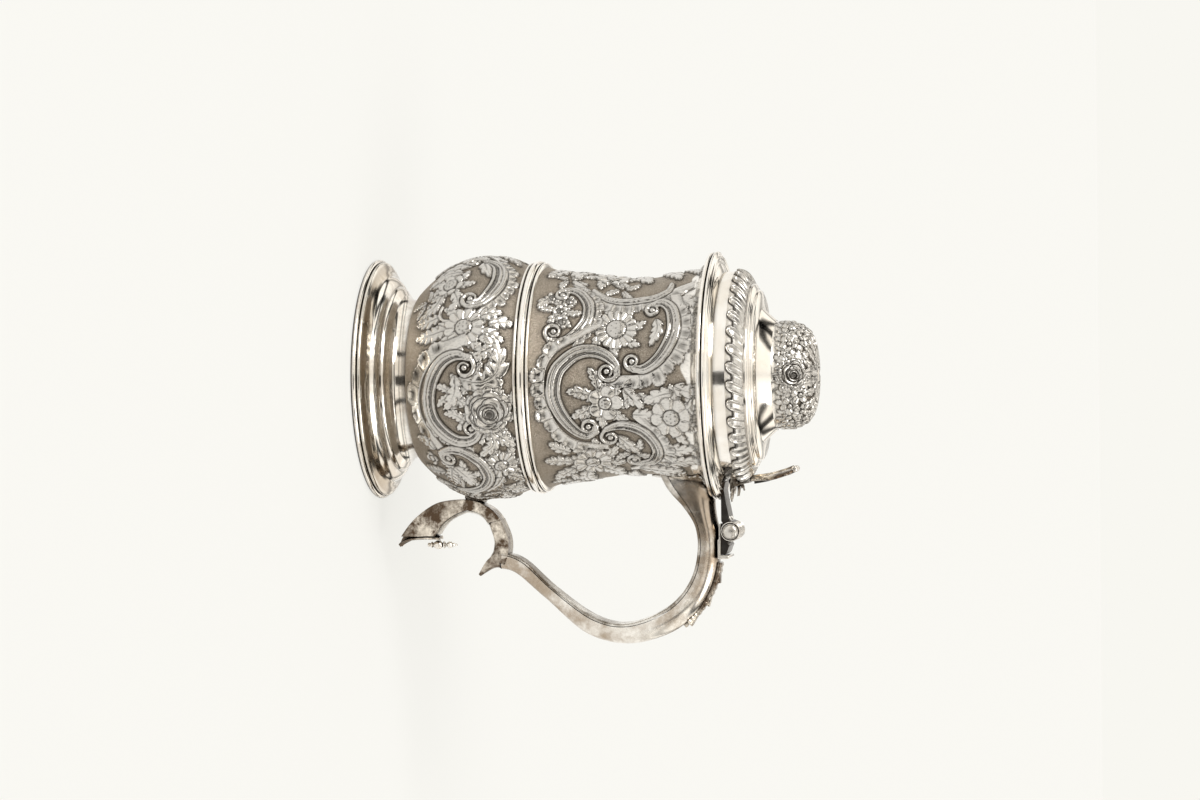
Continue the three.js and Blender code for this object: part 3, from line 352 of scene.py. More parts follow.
class Chasing:
    """Relief on one wall: at each vertex its height in millimetres, its dark lines, which are chased lines
    and painted shade, and its matted ground.

    A place on the wall is (turn, height): degrees from the front towards the handle, and millimetres up.
    """

    edge_width = 0.3
    groove_width = 0.55
    groove_depth = 0.2
    shade_share = 0.6
    shade_reach = 1.3
    lift_share = 1.25
    wide_step = 0.4
    fine_step = 0.35

    def __init__(self, profile, turn, height):
        line = np.array(profile, float)
        self.levels, self.runs, self.radii = line[:, 1], run_along(line), line[:, 0]
        self.turn = np.radians(turn)
        self.run = np.interp(height, self.levels, self.runs)
        self.radius = np.interp(height, self.levels, self.radii)
        self.height, self.line = np.zeros(len(turn)), np.zeros(len(turn))
        self.ground = np.ones(len(turn))

    def flat(self, places, middle):
        """Places as millimetres across and along the wall, counted from a middle turn."""
        places = np.array(places, float)
        radius = np.interp(places[:, 1], self.levels, self.radii)
        across = np.radians(places[:, 0] - middle) * radius
        return np.stack([across, np.interp(places[:, 1], self.levels, self.runs)], 1)

    def path(self, places, middle, step):
        """A smooth path through places, laid flat, and its length."""
        return walk(smooth_line(self.flat(places, middle).tolist(), 8), step)

    def near(self, middle, low, high):
        """The vertices in a box of the wall, and where they lie in it."""
        across = (self.turn - math.radians(middle)) * self.radius
        beside = (across > low[0]) & (across < high[0])
        here = np.nonzero(beside & (self.run > low[1]) & (self.run < high[1]))[0]
        return here, across[here], self.run[here]

    def lay(self, here, inside, height, line, groove=0.8):
        """Lays a motif over what is there; inside is the distance in from its edge."""
        cover = np.clip(inside / self.edge_width + 0.5, 0, 1)
        rim = np.exp(-(np.minimum(inside + 0.18, 0) / self.groove_width) ** 2)
        rim = rim * np.clip(1.4 - cover, 0, 1) * groove
        # Painted shade on the ground round the motif, darkest at its edge.
        shade = self.shade_share * np.exp(np.minimum(inside, 0) / self.shade_reach) * (1 - cover)
        below = self.height[here] * (1 - cover)
        self.height[here] = below + self.lift_share * height * cover - self.groove_depth * rim
        outline = np.maximum(rim, shade)
        self.line[here] = np.maximum(self.line[here] * (1 - cover), np.maximum(outline, line * cover))
        self.ground[here] *= 1 - cover

    def along(self, path, widths, middle, reach):
        """For the vertices near a path: index, share, offset to its left, distance in, and past its ends."""
        low, high = path.min(0) - reach, path.max(0) + reach
        here, across, up = self.near(middle, low, high)
        if not len(here):
            return here, across, across, across, across
        heading = np.gradient(path, axis=0)
        heading /= np.linalg.norm(heading, axis=1)[:, None]
        gap_x, gap_y = across[:, None] - path[None, :, 0], up[:, None] - path[None, :, 1]
        far = np.hypot(gap_x, gap_y)
        pick = np.argmin(far - widths[None, :], axis=1)
        rows = np.arange(len(here))
        dx, dy = gap_x[rows, pick], gap_y[rows, pick]
        hx, hy = heading[pick, 0], heading[pick, 1]
        offset = hx * dy - hy * dx
        past = np.abs(hx * dx + hy * dy) * ((pick == 0) | (pick == len(path) - 1))
        return here, pick / (len(path) - 1), offset, widths[pick] - far[rows, pick], past

    def scroll(self, places, width, eyes=(None, None), lift=0.95, inner=1):
        """A reeded C-scroll through places; each end may curl round an eye. inner is its hollow side."""
        middle, width = places[len(places) // 2][0], width * 1.12
        end_width, tip_width, eye_radius = 1.15, 0.62, 2.1
        path, _ = self.path(places, middle, self.wide_step)
        shares = np.linspace(0, 1, len(path))
        widths = end_width + (width - end_width) * np.sin(np.pi * np.clip(shares, 0.02, 0.98)) ** 0.55
        centres = []
        for end, eye in ((0, eyes[0]), (-1, eyes[1])):
            if eye is None:
                continue
            eye = self.flat([eye], middle)[0]
            centres.append(eye)
            start, before = path[end], path[1 if end == 0 else -2]
            out, heading = start - eye, start - before
            reach = math.hypot(*out)
            way = math.copysign(1, out[0] * heading[1] - out[1] * heading[0])
            share = np.linspace(0, 1, 60)[1:]
            radius = eye_radius + (reach - eye_radius) * (1 - share) ** 2
            angle = math.atan2(out[1], out[0]) + way * math.tau * 1.1 * share
            curl = eye + radius[:, None] * np.stack([np.cos(angle), np.sin(angle)], 1)
            thin = end_width + (tip_width - end_width) * share
            if end == 0:
                path, widths = np.concatenate([curl[::-1], path]), np.concatenate([thin[::-1], widths])
            else:
                path, widths = np.concatenate([path, curl]), np.concatenate([widths, thin])
        here, share, offset, inside, _ = self.along(path, widths, middle, width + 1)
        wide = np.interp(share, np.linspace(0, 1, len(path)), widths)
        n = np.clip(-inner * offset / wide, -1, 1)
        reeds = ((-1, -0.52, 0.66), (-0.52, -0.16, 0.12), (-0.16, 0.3, 0.85), (0.3, 1, 1))
        height, line = np.zeros(len(here)), np.zeros(len(here))
        for low, high, top in reeds:
            reed = (n >= low) & (n <= high)
            across = np.abs(2 * n[reed] - low - high) / (high - low)
            height[reed] = top * (0.4 + 0.6 * dome(across))
            # The low reed is painted dark as shade in its channel; the dark edges of the other reeds are
            # chased lines.
            line[reed] = np.clip((across - 0.7) / 0.25, 0, 1) + (0.75 if top < 0.3 else 0)
        plain = np.clip((wide - 1.2) / 0.9, 0, 1)
        height = plain * height + (1 - plain) * dome(n)
        self.lay(here, inside, lift * height, np.clip(line * plain, 0, 1), 1)
        for eye in centres:
            self.boss(eye, middle, 1.35, lift * 0.95)

    def boss(self, centre, middle, radius, lift):
        """A round knob, at a flat place."""
        here, across, up = self.near(middle, np.array(centre) - radius - 1, np.array(centre) + radius + 1)
        far = np.hypot(across - centre[0], up - centre[1])
        rise = 0.3 + 0.7 * dome(far / radius)
        self.lay(here, radius - far, lift * rise, np.zeros(len(here)), 1)

    def leaf(self, places, width, lobes, lift=0.8, veins=0.9):
        """A lobed leaf from its root to its tip, with a midrib and swept veins."""
        middle = places[0][0]
        path, _ = self.path(places, middle, self.fine_step)
        share = np.linspace(0, 1, len(path))
        widths = width * np.sin(np.pi * np.clip(share, 0.03, 1) ** 0.72) ** 0.75 + 0.12
        here, share, offset, inside, _ = self.along(path, widths, middle, width + 1)
        wide = np.interp(share, np.linspace(0, 1, len(path)), widths)
        n = np.clip(np.abs(offset) / wide, 0, 1.3)
        phase = (share - 0.42 * n * width / max(len(path) * self.fine_step, 1)) * (lobes + 0.5) + 0.1
        lobe = phase - np.floor(phase)
        tooth = np.minimum(np.clip(lobe / 0.62, 0, 1) ** 0.7, np.clip((1 - lobe) / 0.3, 0, 1) ** 0.6)
        notch = wide * 0.46 * (1 - tooth) * np.clip((share - 0.06) * 8, 0, 1)
        edge = np.minimum(lobe, 1 - lobe)
        vein = np.exp(-(edge / 0.14) ** 2) * np.clip(n * 1.7, 0, 1) * veins
        rib = np.exp(-(offset / 0.3) ** 2) * np.clip(1.3 - share * 1.2, 0, 1)
        # Painted shade: darker towards the leaf's root.
        root_shade = 0.5 * np.clip(1 - share * 2.2, 0, 1)
        height = lift * (0.25 + 0.75 * dome(n) + 0.3 * np.sin(np.pi * lobe) * n - 0.3 * rib)
        hatch = 0.5 * np.clip(np.sin(math.tau * phase * 3) * 2 - 1, 0, 1) * np.clip(n * 2 - 0.3, 0, 1)
        lines = np.maximum(np.maximum(vein, rib * 0.9), np.maximum(hatch, root_shade))
        self.lay(here, inside - notch, height - 0.2 * vein, lines)

    def polar(self, centre, reach):
        """The vertices round a place: index, distance, turn about it, and offsets."""
        middle = centre[0]
        spot = self.flat([centre], middle)[0]
        here, across, up = self.near(middle, spot - reach - 1, spot + reach + 1)
        across, up = across - spot[0], up - spot[1]
        return here, np.hypot(across, up), np.arctan2(up, across), across, up

    def spray(self, centre, reach, count, first):
        """Leaves that spread from under a flower."""
        radius = np.interp(centre[1], self.levels, self.radii)
        for k in range(count):
            a = first + math.tau * k / count
            line = [(centre[0] + math.degrees(reach * far * math.cos(a + 0.25 * far) / radius),
                     centre[1] + reach * far * math.sin(a + 0.25 * far)) for far in (0.4, 1.1, 1.8)]
            self.leaf(line, reach * 0.36, 4, 0.62)

    def flower(self, centre, reach, petals, heart, lift=1, pointed=0.2, turn=0, dots=7):
        """An open flower: petals round a domed heart with punched dots."""
        here, far, angle, across, up = self.polar(centre, reach)
        petal = (angle + turn) / math.tau * petals
        c = from_middle(petal)
        edge = reach * (1 - 1.5 * pointed * c ** 2.2)
        grown = np.clip((far / reach - heart) / (1 - heart), 0, 1)
        fold = np.exp(-((1 - c) * far * math.pi / petals / 0.3) ** 2)
        hatch = 0.45 * np.clip(np.sin(petal * math.tau * 3) * 2 - 1.1, 0, 1) * (grown > 0.05) * (grown < 0.6)
        height = lift * (0.2 + 0.35 * grown + 0.5 * (1 - c ** 2) - 0.3 * fold * grown)
        line = np.maximum(fold * (0.5 + 0.5 * grown), hatch)
        # Painted shade: dark where the petals meet the heart, and fading out along each petal.
        line = np.maximum(line, np.maximum(np.clip(1 - grown * 5, 0, 1) * 0.8, 0.5 * (1 - grown) ** 2))
        self.lay(here, edge - far, height, line)
        knob = heart * reach
        line = np.zeros(len(here))
        for k in range(dots):
            a, r = math.tau * k / max(dots - 1, 1), (0 if k == 0 else knob * 0.58)
            line += np.exp(-((np.hypot(across - r * math.cos(a), up - r * math.sin(a))) / 0.34) ** 2)
        rise = lift * (0.55 + 0.6 * dome(far / knob))
        self.lay(here, knob - far, rise, np.clip(1.3 * line, 0, 1), 1)

    def rose(self, centre, reach, lift):
        """A full rose: a lobed outer ring, and petals that wrap round a hollow heart."""
        here, far, angle, across, up = self.polar(centre, reach)
        petals = 13
        petal = angle / math.tau * petals
        c = from_middle(petal)
        edge = reach * (0.9 + 0.1 * dome(c))
        fold = np.exp(-((1 - c) * far * math.pi / petals / 0.3) ** 2) * (far > reach * 0.72)
        self.lay(here, edge - far, lift * (0.5 - 0.2 * fold + 0.1 * (1 - c)), fold * 0.7)
        wraps = ((0.0, 0, 0.82, 5, 0.3), (0.09, -0.05, 0.68, 3, 1.4), (0.01, 0.09, 0.55, 3, 0.2),
                 (0.15, 0.0, 0.41, 2, 1.1), (0.12, 0.05, 0.29, 2, 0.3))
        for k, (dx, dy, size, count, first) in enumerate(wraps):
            x, y = across - dx * reach, up - dy * reach
            r, a = np.hypot(x, y), np.arctan2(y, x)
            q = (a + first) / math.tau * count
            c = from_middle(q)
            edge = size * reach * (1 - 0.2 * c ** 2.5)
            depth = np.clip((edge - r) / 1.5, 0, 1)
            hatch = 0.25 * (np.sin(a * 34) > 0.5) * (depth > 0.4)
            # Painted shade: darker deeper inside each wrapped petal.
            self.lay(here, edge - r, lift * (0.95 - 0.4 * depth + 0.03 * k), np.maximum(hatch,
                                                                                        0.2 * depth), 1)
        # Painted shade: the hollow heart is coloured dark.
        x, y = across - 0.17 * reach, up - 0.03 * reach
        self.lay(here, 0.18 * reach - np.hypot(x, y), np.full(len(here), 0.15), np.full(len(here), 0.8), 1)

    def frill(self, places, length, pitch, side, lift=0.72, hollow_shade=0.7):
        """Rocaille along an edge: lobes side by side, each with a hollow and a raised rim, and painted shade
        in the hollow.
        """
        middle, length = places[len(places) // 2][0], length * 1.2
        path, run = self.path(places, middle, self.wide_step)
        shares = np.linspace(0, 1, len(path))
        widths = length * (0.55 + 0.45 * np.sin(np.pi * shares) ** 0.5)
        here, share, offset, _, past = self.along(path, widths, middle, length + 1)
        wide = np.interp(share, shares, widths)
        count = max(2, round(run / pitch / 1.3))
        q = share * count
        c = from_middle(q)
        b = offset * side / wide
        wild = 0.86 + 0.14 * np.sin(np.floor(q) * 2.4 + places[0][0])
        teeth = 0.03 * np.sin(q * math.tau * 4)
        end = ((0.66 + 0.34 * dome(c)) * wild + teeth) * wide - offset * side
        within = np.minimum(end, offset * side + 0.6) - past
        cup = (1 - c ** 2) * np.sin(np.pi * np.clip(b * 1.08, 0, 1))
        height = lift * (0.85 - 0.75 * cup)
        fold = np.exp(-((1 - c) * pitch / 1.6 / 0.26) ** 2)
        veins = 0.3 * np.clip(np.sin(q * math.tau * 3) * 2 - 0.8, 0, 1) * np.clip(b * 3 - 0.9, 0, 1)
        # Painted shade in the cup of each lobe; the folds and veins are chased lines.
        self.lay(here, within, height - 0.15 * fold, np.clip(hollow_shade * cup ** 1.3 + 0.7 * fold + veins, 0, 1))

    def gadroons(self, count, low, high):
        """Leaning flutes with raised rims and round lower ends, with painted shade in the flutes and in the
        pits between these ends.
        """
        lift, slant = 0.9, 0.5
        low, high = np.interp([low, high], self.levels, self.runs)
        here = np.nonzero((self.run > low - 1) & (self.run < high + 0.5))[0]
        up = self.run[here] - low
        share = np.clip(up / (high - low), 0, 1)
        q = np.degrees(self.turn[here]) / 360 * count - slant * share ** 1.2
        c = (q - np.floor(q) - 0.5) * 2
        wide = math.pi * self.radius[here] / count
        half = 0.62 * wide
        tongue = half - np.hypot(c * wide, np.maximum(half - up, 0))
        fade = np.clip((1.1 - share) * 1.8, 0, 1)
        rim = np.exp(-((tongue - 0.45) / 0.4) ** 2) * fade
        flute = np.clip((tongue - 0.85) / 0.5, 0, 1) * fade
        between = up - 2.3 - 0.5 * np.abs(c)
        inside = np.minimum(np.maximum(tongue, between), high - self.run[here])
        height = lift * (0.45 + 0.55 * rim - 0.4 * flute)
        # Painted shade in the pits between the rounded ends; the shade below is painted in the flutes.
        pit_shade = 0.9 * np.exp(-(np.maximum(between, 0) / 1.1) ** 2) * np.clip(-tongue / 0.3, 0, 1)
        hatch = 0.35 * np.clip(np.sin(c * wide * 9), 0, 1) * (tongue < 0)
        shade = 0.72 * flute * np.clip(0.75 + 0.5 * c, 0, 1)
        self.lay(here, inside, height, np.maximum(np.maximum(pit_shade, hatch), shade), 1)

    def stem(self, places, width):
        """A round stem through places."""
        middle = places[len(places) // 2][0]
        path, _ = self.path(places, middle, self.fine_step)
        here, _, offset, inside, _ = self.along(path, np.full(len(path), width), middle, width + 1)
        n = np.clip(np.abs(offset) / width, 0, 1)
        self.lay(here, inside, 0.55 * (0.3 + 0.7 * dome(n)), np.zeros(len(here)))


def points_of(piece):
    """The places of a piece's points, in metres."""
    place = np.zeros(len(piece.data.vertices) * 3)
    piece.data.vertices.foreach_get("co", place)
    return place.reshape(-1, 3)


def move_points(piece, place):
    """Gives the points of a piece new places."""
    piece.data.vertices.foreach_set("co", place.ravel())
    piece.data.update()


def chased_wall(name, profile, thickness, pattern, across, spacing, fade=0.9):
    """Half a wall in front of the handle's plane, embossed with a pattern, and its mirrored other half."""
    outside, _ = walk(profile, spacing)
    inside = np.array(smooth_line(profile[::16] + [profile[-1]], 2)) - [thickness, 0]
    loop = [tuple(point) for point in (*outside, *inside[::-1], outside[0])]
    front = turned(name + "_front", loop, across, 60, -math.pi)
    place = points_of(front)
    x, y, z = (place[:, 0] - axis_x) / MM, place[:, 1] / MM, place[:, 2] / MM
    radius, turn = np.hypot(x, y), np.degrees(np.arctan2(x, -y))
    skin_depth = 0.12
    skin = np.abs(radius - np.interp(z, outside[:, 1], outside[:, 0])) < skin_depth
    chased = Chasing(profile, turn[skin], z[skin])
    pattern(chased)
    ends = np.minimum(chased.run, chased.runs[-1] - chased.run)
    soft = np.clip(ends / fade, 0, 1)
    slope = np.gradient(outside, axis=0)
    slope /= np.linalg.norm(slope, axis=1)[:, None]
    out = np.interp(z[skin], outside[:, 1], slope[:, 1])
    rise = -np.interp(z[skin], outside[:, 1], slope[:, 0])
    away = radius[skin] + chased.height * soft * out
    place[skin, 0] = axis_x + away * np.sin(np.radians(turn[skin])) * MM
    place[skin, 1] = -away * np.cos(np.radians(turn[skin])) * MM
    place[skin, 2] += chased.height * soft * rise * MM
    move_points(front, place)
    # The line attribute carries chased lines and painted shade.
    for attribute, values in (("line", chased.line * soft), ("ground", chased.ground * soft)):
        stored = np.zeros(len(place))
        stored[skin] = values
        front.data.attributes.new(attribute, "FLOAT", "POINT").data.foreach_set("value", stored)
    back = front.copy()
    back.data = front.data.copy()
    back.name = back.data.name = name + "_back"
    bpy.context.scene.collection.objects.link(back)
    open_edit(back)
    bpy.ops.mesh.select_all(action="SELECT")
    bpy.ops.transform.mirror(constraint_axis=(False, True, False), center_override=(0, 0, 0))
    bpy.ops.mesh.normals_make_consistent(inside=False)
    bpy.ops.object.mode_set(mode="OBJECT")
    return front, back


def waist_pattern(wall):
    """Four scrolls with flowers between them, over the waist and up the flare of the lip."""
    edge = 146.4 + 1.2 * np.sin(wall.turn * 9) + 0.7 * np.sin(wall.turn * 23)
    blend = 0.4
    wall.ground *= np.clip((np.interp(edge, wall.levels, wall.runs) - wall.run) / blend, 0, 1)
    sprays = [((-76, 110), 7.5, 6, 0.3), ((-28, 115.6), 7.5, 7, 0.5), ((23, 140), 8.4, 7, 0.9),
              ((15, 111), 7.4, 7, 0.4), ((55, 102.6), 8.4, 8, 0.2), ((-38, 91), 5.4, 6, 0.1),
              ((8, 125), 5.2, 4, 0.6), ((-60, 116), 5, 4, 0.2), ((75, 140), 7, 5, 0.3),
              ((50, 121), 5.4, 5, 1.0), ((78, 92), 6, 5, 0.2), ((-66, 92), 5, 4, 0.8)]
    for place, reach, count, first in sprays:
        wall.spray(place, reach, count, first)
    wall.leaf([(-88, 142), (-80, 148), (-70, 150)], 4, 4)
    wall.leaf([(-86, 133), (-76, 138), (-66, 141)], 4, 4)
    wall.leaf([(-86, 122), (-77, 124), (-68, 128)], 4, 4)
    wall.leaf([(-86, 98), (-77, 94), (-68, 96)], 4, 4)
    wall.leaf([(-86, 88), (-76, 86), (-66, 82)], 3.6, 4)
    wall.flower((-76, 110), 8, 8, 0.36)
    wall.frill([(-55, 140), (-50, 133), (-48, 126), (-47, 119), (-48, 110), (-55, 103)], 6.5, 3.2, 1)
    wall.scroll([(-60, 138), (-54, 137), (-50, 132), (-49, 125), (-48, 118), (-50, 110), (-56, 104)], 1.7)
    wall.leaf([(-47, 138), (-44, 145), (-41, 151)], 4.2, 3)
    wall.leaf([(-44, 140), (-40, 144), (-35, 147)], 3.2, 3)
    wall.frill([(-38, 141.5), (-30, 143), (-22, 142.5), (-14, 140), (-6, 135), (-1, 128), (0, 122)], 7.2,
               3.6, 1)
    wall.leaf([(-32, 133.5), (-26, 134), (-17, 131)], 2.9, 4)
    wall.flower((-28, 115.6), 9.4, 17, 0.45, 1, 0.08)
    wall.scroll([(-44, 131), (-44.5, 135), (-40, 139), (-32, 141), (-24, 141), (-16, 138.6), (-9, 134.5),
                 (-4.5, 129), (-4, 124)], 2.8, ((-40, 131), (-8.5, 123)), 0.95, -1)
    wall.leaf([(6, 143), (8, 147), (8, 151)], 3.4, 3)
    wall.leaf([(9, 140), (11, 134), (15, 128)], 3.4, 3)
    wall.leaf([(22, 124), (22, 128), (21, 132)], 3.2, 3)
    wall.leaf([(8, 120), (12, 123), (18, 128)], 3.2, 3)
    wall.leaf([(45, 136), (44, 142), (42, 149)], 4, 4)
    wall.leaf([(57, 133), (54, 142), (50, 151)], 4, 5)
    wall.flower((23, 140), 9.2, 8, 0.38, 1, 0.1, 0.2)
    wall.frill([(33, 130), (40, 134.5), (49, 135), (57, 131), (62, 125)], 5, 3.2, 1)
    wall.leaf([(37, 116), (43, 120), (50, 124)], 2.6, 3)
    wall.scroll([(60, 123), (57, 128.5), (49, 132), (41, 131.4), (34, 127.6), (30, 122), (29, 116),
                 (31, 111)], 2.5, ((56, 121), (37, 112)), 0.95, 1)
    wall.leaf([(-47, 86), (-43, 83), (-38, 81)], 2.6, 3)
    wall.frill([(-55, 97), (-51, 102), (-44, 105), (-35, 105.4), (-27, 103), (-20, 98)], 3.6, 2.8, 1)
    for place in ((-38, 90.5), (-45, 94), (-31, 92), (-47, 86.5)):
        wall.flower(place, 3.4, 5, 0.4, 0.8, 0.2, place[0])
    wall.scroll([(-53, 89.5), (-54.5, 94), (-52, 98.4), (-44, 102.4), (-35, 102.8), (-28, 100.4),
                 (-22, 96.4), (-19, 91.6), (-20, 87)], 2.4, ((-50, 90.5), (-25, 88.5)), 0.95, -1)
    wall.leaf([(5, 108), (0, 107), (-5, 104)], 2.6, 3)
    wall.leaf([(10, 104), (8, 99), (8, 94.5)], 2.8, 3)
    wall.leaf([(18, 104), (21, 99), (22, 96)], 2.6, 3)
    wall.flower((15, 111), 7.8, 5, 0.34, 1, 0.22, 0.3)
    wall.frill([(-19, 96), (-14, 90), (-7, 86), (1, 84.6), (9, 85), (18, 86.6), (26, 89), (33, 93), (38, 98),
                (40, 103)], 5.6, 4.4, -1)
    wall.scroll([(-2, 116.6), (-7, 115.8), (-12.5, 111), (-14.6, 105), (-13, 99), (-8, 93.6), (-2, 90),
                 (8, 88.6), (17, 90.4), (25, 94), (31, 98), (34, 102), (32, 106)], 2.9,
                ((-3, 112), (28.6, 103)), 1, 1)
    wall.flower((55, 102.6), 8.6, 9, 0.36, 1, 0.12)
    wall.leaf([(52, 93), (51, 88), (49, 82)], 3.4, 4)
    wall.leaf([(60, 93), (65, 88), (70, 84)], 3.4, 4)
    wall.leaf([(44, 93), (41, 89), (37, 85)], 3, 4)
    wall.leaf([(63, 108), (70, 112), (78, 113)], 4, 4)
    wall.leaf([(65, 99), (73, 98), (82, 101)], 4, 4)
    wall.leaf([(88, 120), (80, 118), (70, 120)], 3.6, 4)
    wall.leaf([(66, 124), (66, 132), (62, 142)], 4.2, 5)
    wall.leaf([(88, 86), (82, 90), (76, 94)], 3.6, 4)


def belly_pattern(wall):
    """Scrolls, a rose, daisies and leaves round the belly."""
    sprays = [((-51, 41), 6.4, 7, 0.2), ((-24, 50), 8.2, 8, 0.3), ((15.5, 61), 9.2, 8, 0.1),
              ((46.5, 63.4), 7, 7, 0.4), ((8, 46), 5.4, 6, 0.7), ((-84, 48), 6.5, 6, 0.2),
              ((53, 45), 6, 6, 0.5), ((78, 44), 6.5, 6, 0.1), ((30, 64), 5, 4, 0.9),
              ((-44, 31), 4.6, 5, 0.2), ((-8, 60), 5, 5, 0.2), ((72, 62), 6, 5, 0.6)]
    for place, reach, count, first in sprays:
        wall.spray(place, reach, count, first)
    wall.leaf([(-88, 58), (-82, 64), (-76, 68)], 4, 4)
    wall.leaf([(-88, 36), (-80, 34), (-73, 30)], 3.6, 4)
    wall.frill([(-74, 58), (-66, 62.5), (-58, 64.5), (-50, 64.5), (-43, 62.5), (-37, 59)], 5.6, 2.9, 1)
    wall.leaf([(-67, 54), (-61, 56), (-55, 59)], 3.4, 3, 0.8, 0.4)
    wall.leaf([(-66, 47), (-68, 40), (-64, 33)], 3.8, 4)
    wall.leaf([(-60, 44), (-62, 37), (-57, 30)], 3.8, 4)
    wall.leaf([(-44, 44), (-38, 46), (-34, 42)], 3.2, 3)
    wall.leaf([(-44, 38), (-38, 35), (-33, 27)], 3.2, 4)
    wall.flower((-51, 41), 6.6, 6, 0.5, 1, 0.2, 0.3, 9)
    wall.scroll([(-71, 54), (-66, 60), (-59, 62), (-51, 62), (-44, 60), (-38, 56.5), (-35, 52.4)], 3.1,
                ((-70, 48.8), (-39.5, 51.5)), 1, -1)
    wall.leaf([(-26, 62), (-28, 66), (-27, 71)], 3.4, 3)
    wall.leaf([(-30, 58), (-32, 62), (-33, 66)], 3.2, 3)
    wall.leaf([(-22, 59), (-20, 63), (-18, 67.5)], 3.2, 3)
    wall.leaf([(-23, 41), (-22, 35), (-22, 27)], 4, 5)
    wall.leaf([(-31, 38), (-30, 33), (-31, 27)], 3.2, 4)
    wall.stem([(-28, 45), (-29, 40), (-33, 38), (-37, 39)], 0.7)
    wall.leaf([(1, 50), (2, 59), (-3, 65), (-12, 65), (-18, 60), (-18, 56)], 5.4, 7)
    wall.leaf([(-14, 62), (-11, 58), (-7, 55)], 3, 4)
    wall.flower((-24, 50), 9, 12, 0.4, 1, 0.12, 0, 9)
    wall.frill([(-12, 42), (-9, 36), (-2, 31.4), (6, 29), (14, 28.4), (22, 29.6), (29, 33.6)], 7.2, 5.6,
               -1, 0.6, 0.85)
    wall.leaf([(0, 47), (6, 47), (12, 44), (15, 41)], 3.4, 4)
    wall.leaf([(20, 51), (17, 46), (17, 41)], 2.4, 5)
    wall.frill([(26, 36), (31, 42), (33, 48)], 3.4, 3, -1)
    wall.scroll([(-9.4, 53), (-10.6, 47), (-8, 41), (-1, 36.4), (7, 34.2), (15, 34), (22, 36), (27.6, 41),
                 (30.4, 47), (29.4, 53), (25, 57)], 3.1, ((-4.6, 51), (24, 53)), 1.05, 1)
    wall.leaf([(28, 64), (33, 68), (36, 71)], 3.4, 4)
    wall.leaf([(27, 61), (33, 61.5), (39, 55)], 3.2, 4)
    wall.stem([(27, 60), (22, 62), (20, 62)], 0.7)
    wall.rose((15.5, 61), 10.4, 1.05)
    wall.flower((46.5, 63.4), 7.6, 14, 0.38, 1, 0.1, 0, 9)
    wall.leaf([(56, 62), (61, 59), (66, 53)], 3.6, 4)
    wall.leaf([(55, 66), (60, 69), (65, 71)], 3, 3)
    wall.leaf([(66, 63), (72, 67), (80, 69)], 3.8, 4)
    wall.leaf([(84, 62), (77, 60), (70, 62)], 3.4, 4)
    wall.leaf([(48, 44), (54, 48), (60, 48)], 4.2, 6)
    wall.leaf([(50, 41), (57, 40), (64, 40)], 3.8, 5)
    wall.scroll([(40, 37), (36.4, 42), (36.6, 48), (41, 53.4), (47, 56.4), (54, 57), (61, 54), (66, 48),
                 (69, 41)], 2.4, ((42, 40.5), None), 0.95, -1)
    wall.flower((47, 31.9), 3.6, 4, 0.42, 0.8, 0.3, 0.4, 1)
    wall.leaf([(38, 34), (36, 30), (36, 26)], 2.6, 3)
    wall.leaf([(54, 36), (58, 31), (60, 27)], 3, 4)
    wall.leaf([(68, 37), (72, 32), (78, 30)], 3.2, 4)
    wall.leaf([(84, 34), (82, 42), (78, 50)], 4, 5)


def chased(name, matting, polish):
    """Silver with a ground matted by punches between polished raised work, and tarnish and painted shade in
    its lines and round its relief.
    """
    material, tree, shader = paint(name, 1)
    line = node(tree, "ShaderNodeAttribute", attribute_name="line").outputs["Fac"]
    ground = node(tree, "ShaderNodeAttribute", attribute_name="ground").outputs["Fac"]
    dark, middle, light = matting
    mat_colour = ramp(tree, object_noise(tree, 2600, 3, 0.6), [(0.3, dark), (0.5, middle), (0.7, light)])
    fine_lines = ramp(tree, object_noise(tree, 1500, 2, 0.5, (1, 1, 0.4)), [(0.36, 0.72), (0.48, 1.0)])
    raised = mix(tree, 0.7, (1.0, 0.97, 0.915), fine_lines, "MULTIPLY")
    over_ground = mix(tree, ground, raised, mat_colour)
    worn_and_shaded = node(tree, "ShaderNodeGroup", node_tree=wear_and_shade)
    brown = mix(tree, times(tree, worn_and_shaded.outputs["Stain"], 0.1), over_ground, (0.44, 0.35, 0.25))
    # The line attribute colours chased lines and painted shade near black.
    lines_and_shade = mix(tree, line, brown, (0.028, 0.022, 0.016))
    # Painted shade and tarnish: darker where the relief closes a place in.
    occluded_shade = hollow_shade_of(tree, 0.0012, [(0.25, 0.12), (0.72, 1.0)])
    tree.links.new(mix(tree, 1, lines_and_shade, occluded_shade, "MULTIPLY"), shader.inputs["Base Color"])
    ground_roughness = 0.5
    rough = between(tree, ground, 0, 1, polish, ground_roughness)
    tree.links.new(rough, shader.inputs["Roughness"])
    punched = node(tree, "ShaderNodeBump", Distance=0.0003)
    tree.links.new(object_noise(tree, 2200, 3, 0.6), punched.inputs["Height"])
    tree.links.new(ground, punched.inputs["Strength"])
    tree.links.new(punched.outputs["Normal"], shader.inputs["Normal"])
    return material


brown_matting = ((0.15, 0.125, 0.098), (0.34, 0.295, 0.24), (0.60, 0.54, 0.46))
chased_silver = chased("chased silver", brown_matting, 0.16)
chased_walls = chased_wall("belly", belly_profile, 1, belly_pattern, 440, 0.34)
chased_walls += chased_wall("waist", waist_profile, 1, waist_pattern, 420, 0.36)
lining = turned("body_lining", lip_profile + lining_profile)
for part in chased_walls:
    fit(part, "tankard", "silver", chased_silver, "body")
fit(lining, "tankard", "silver", bright_silver, "body")

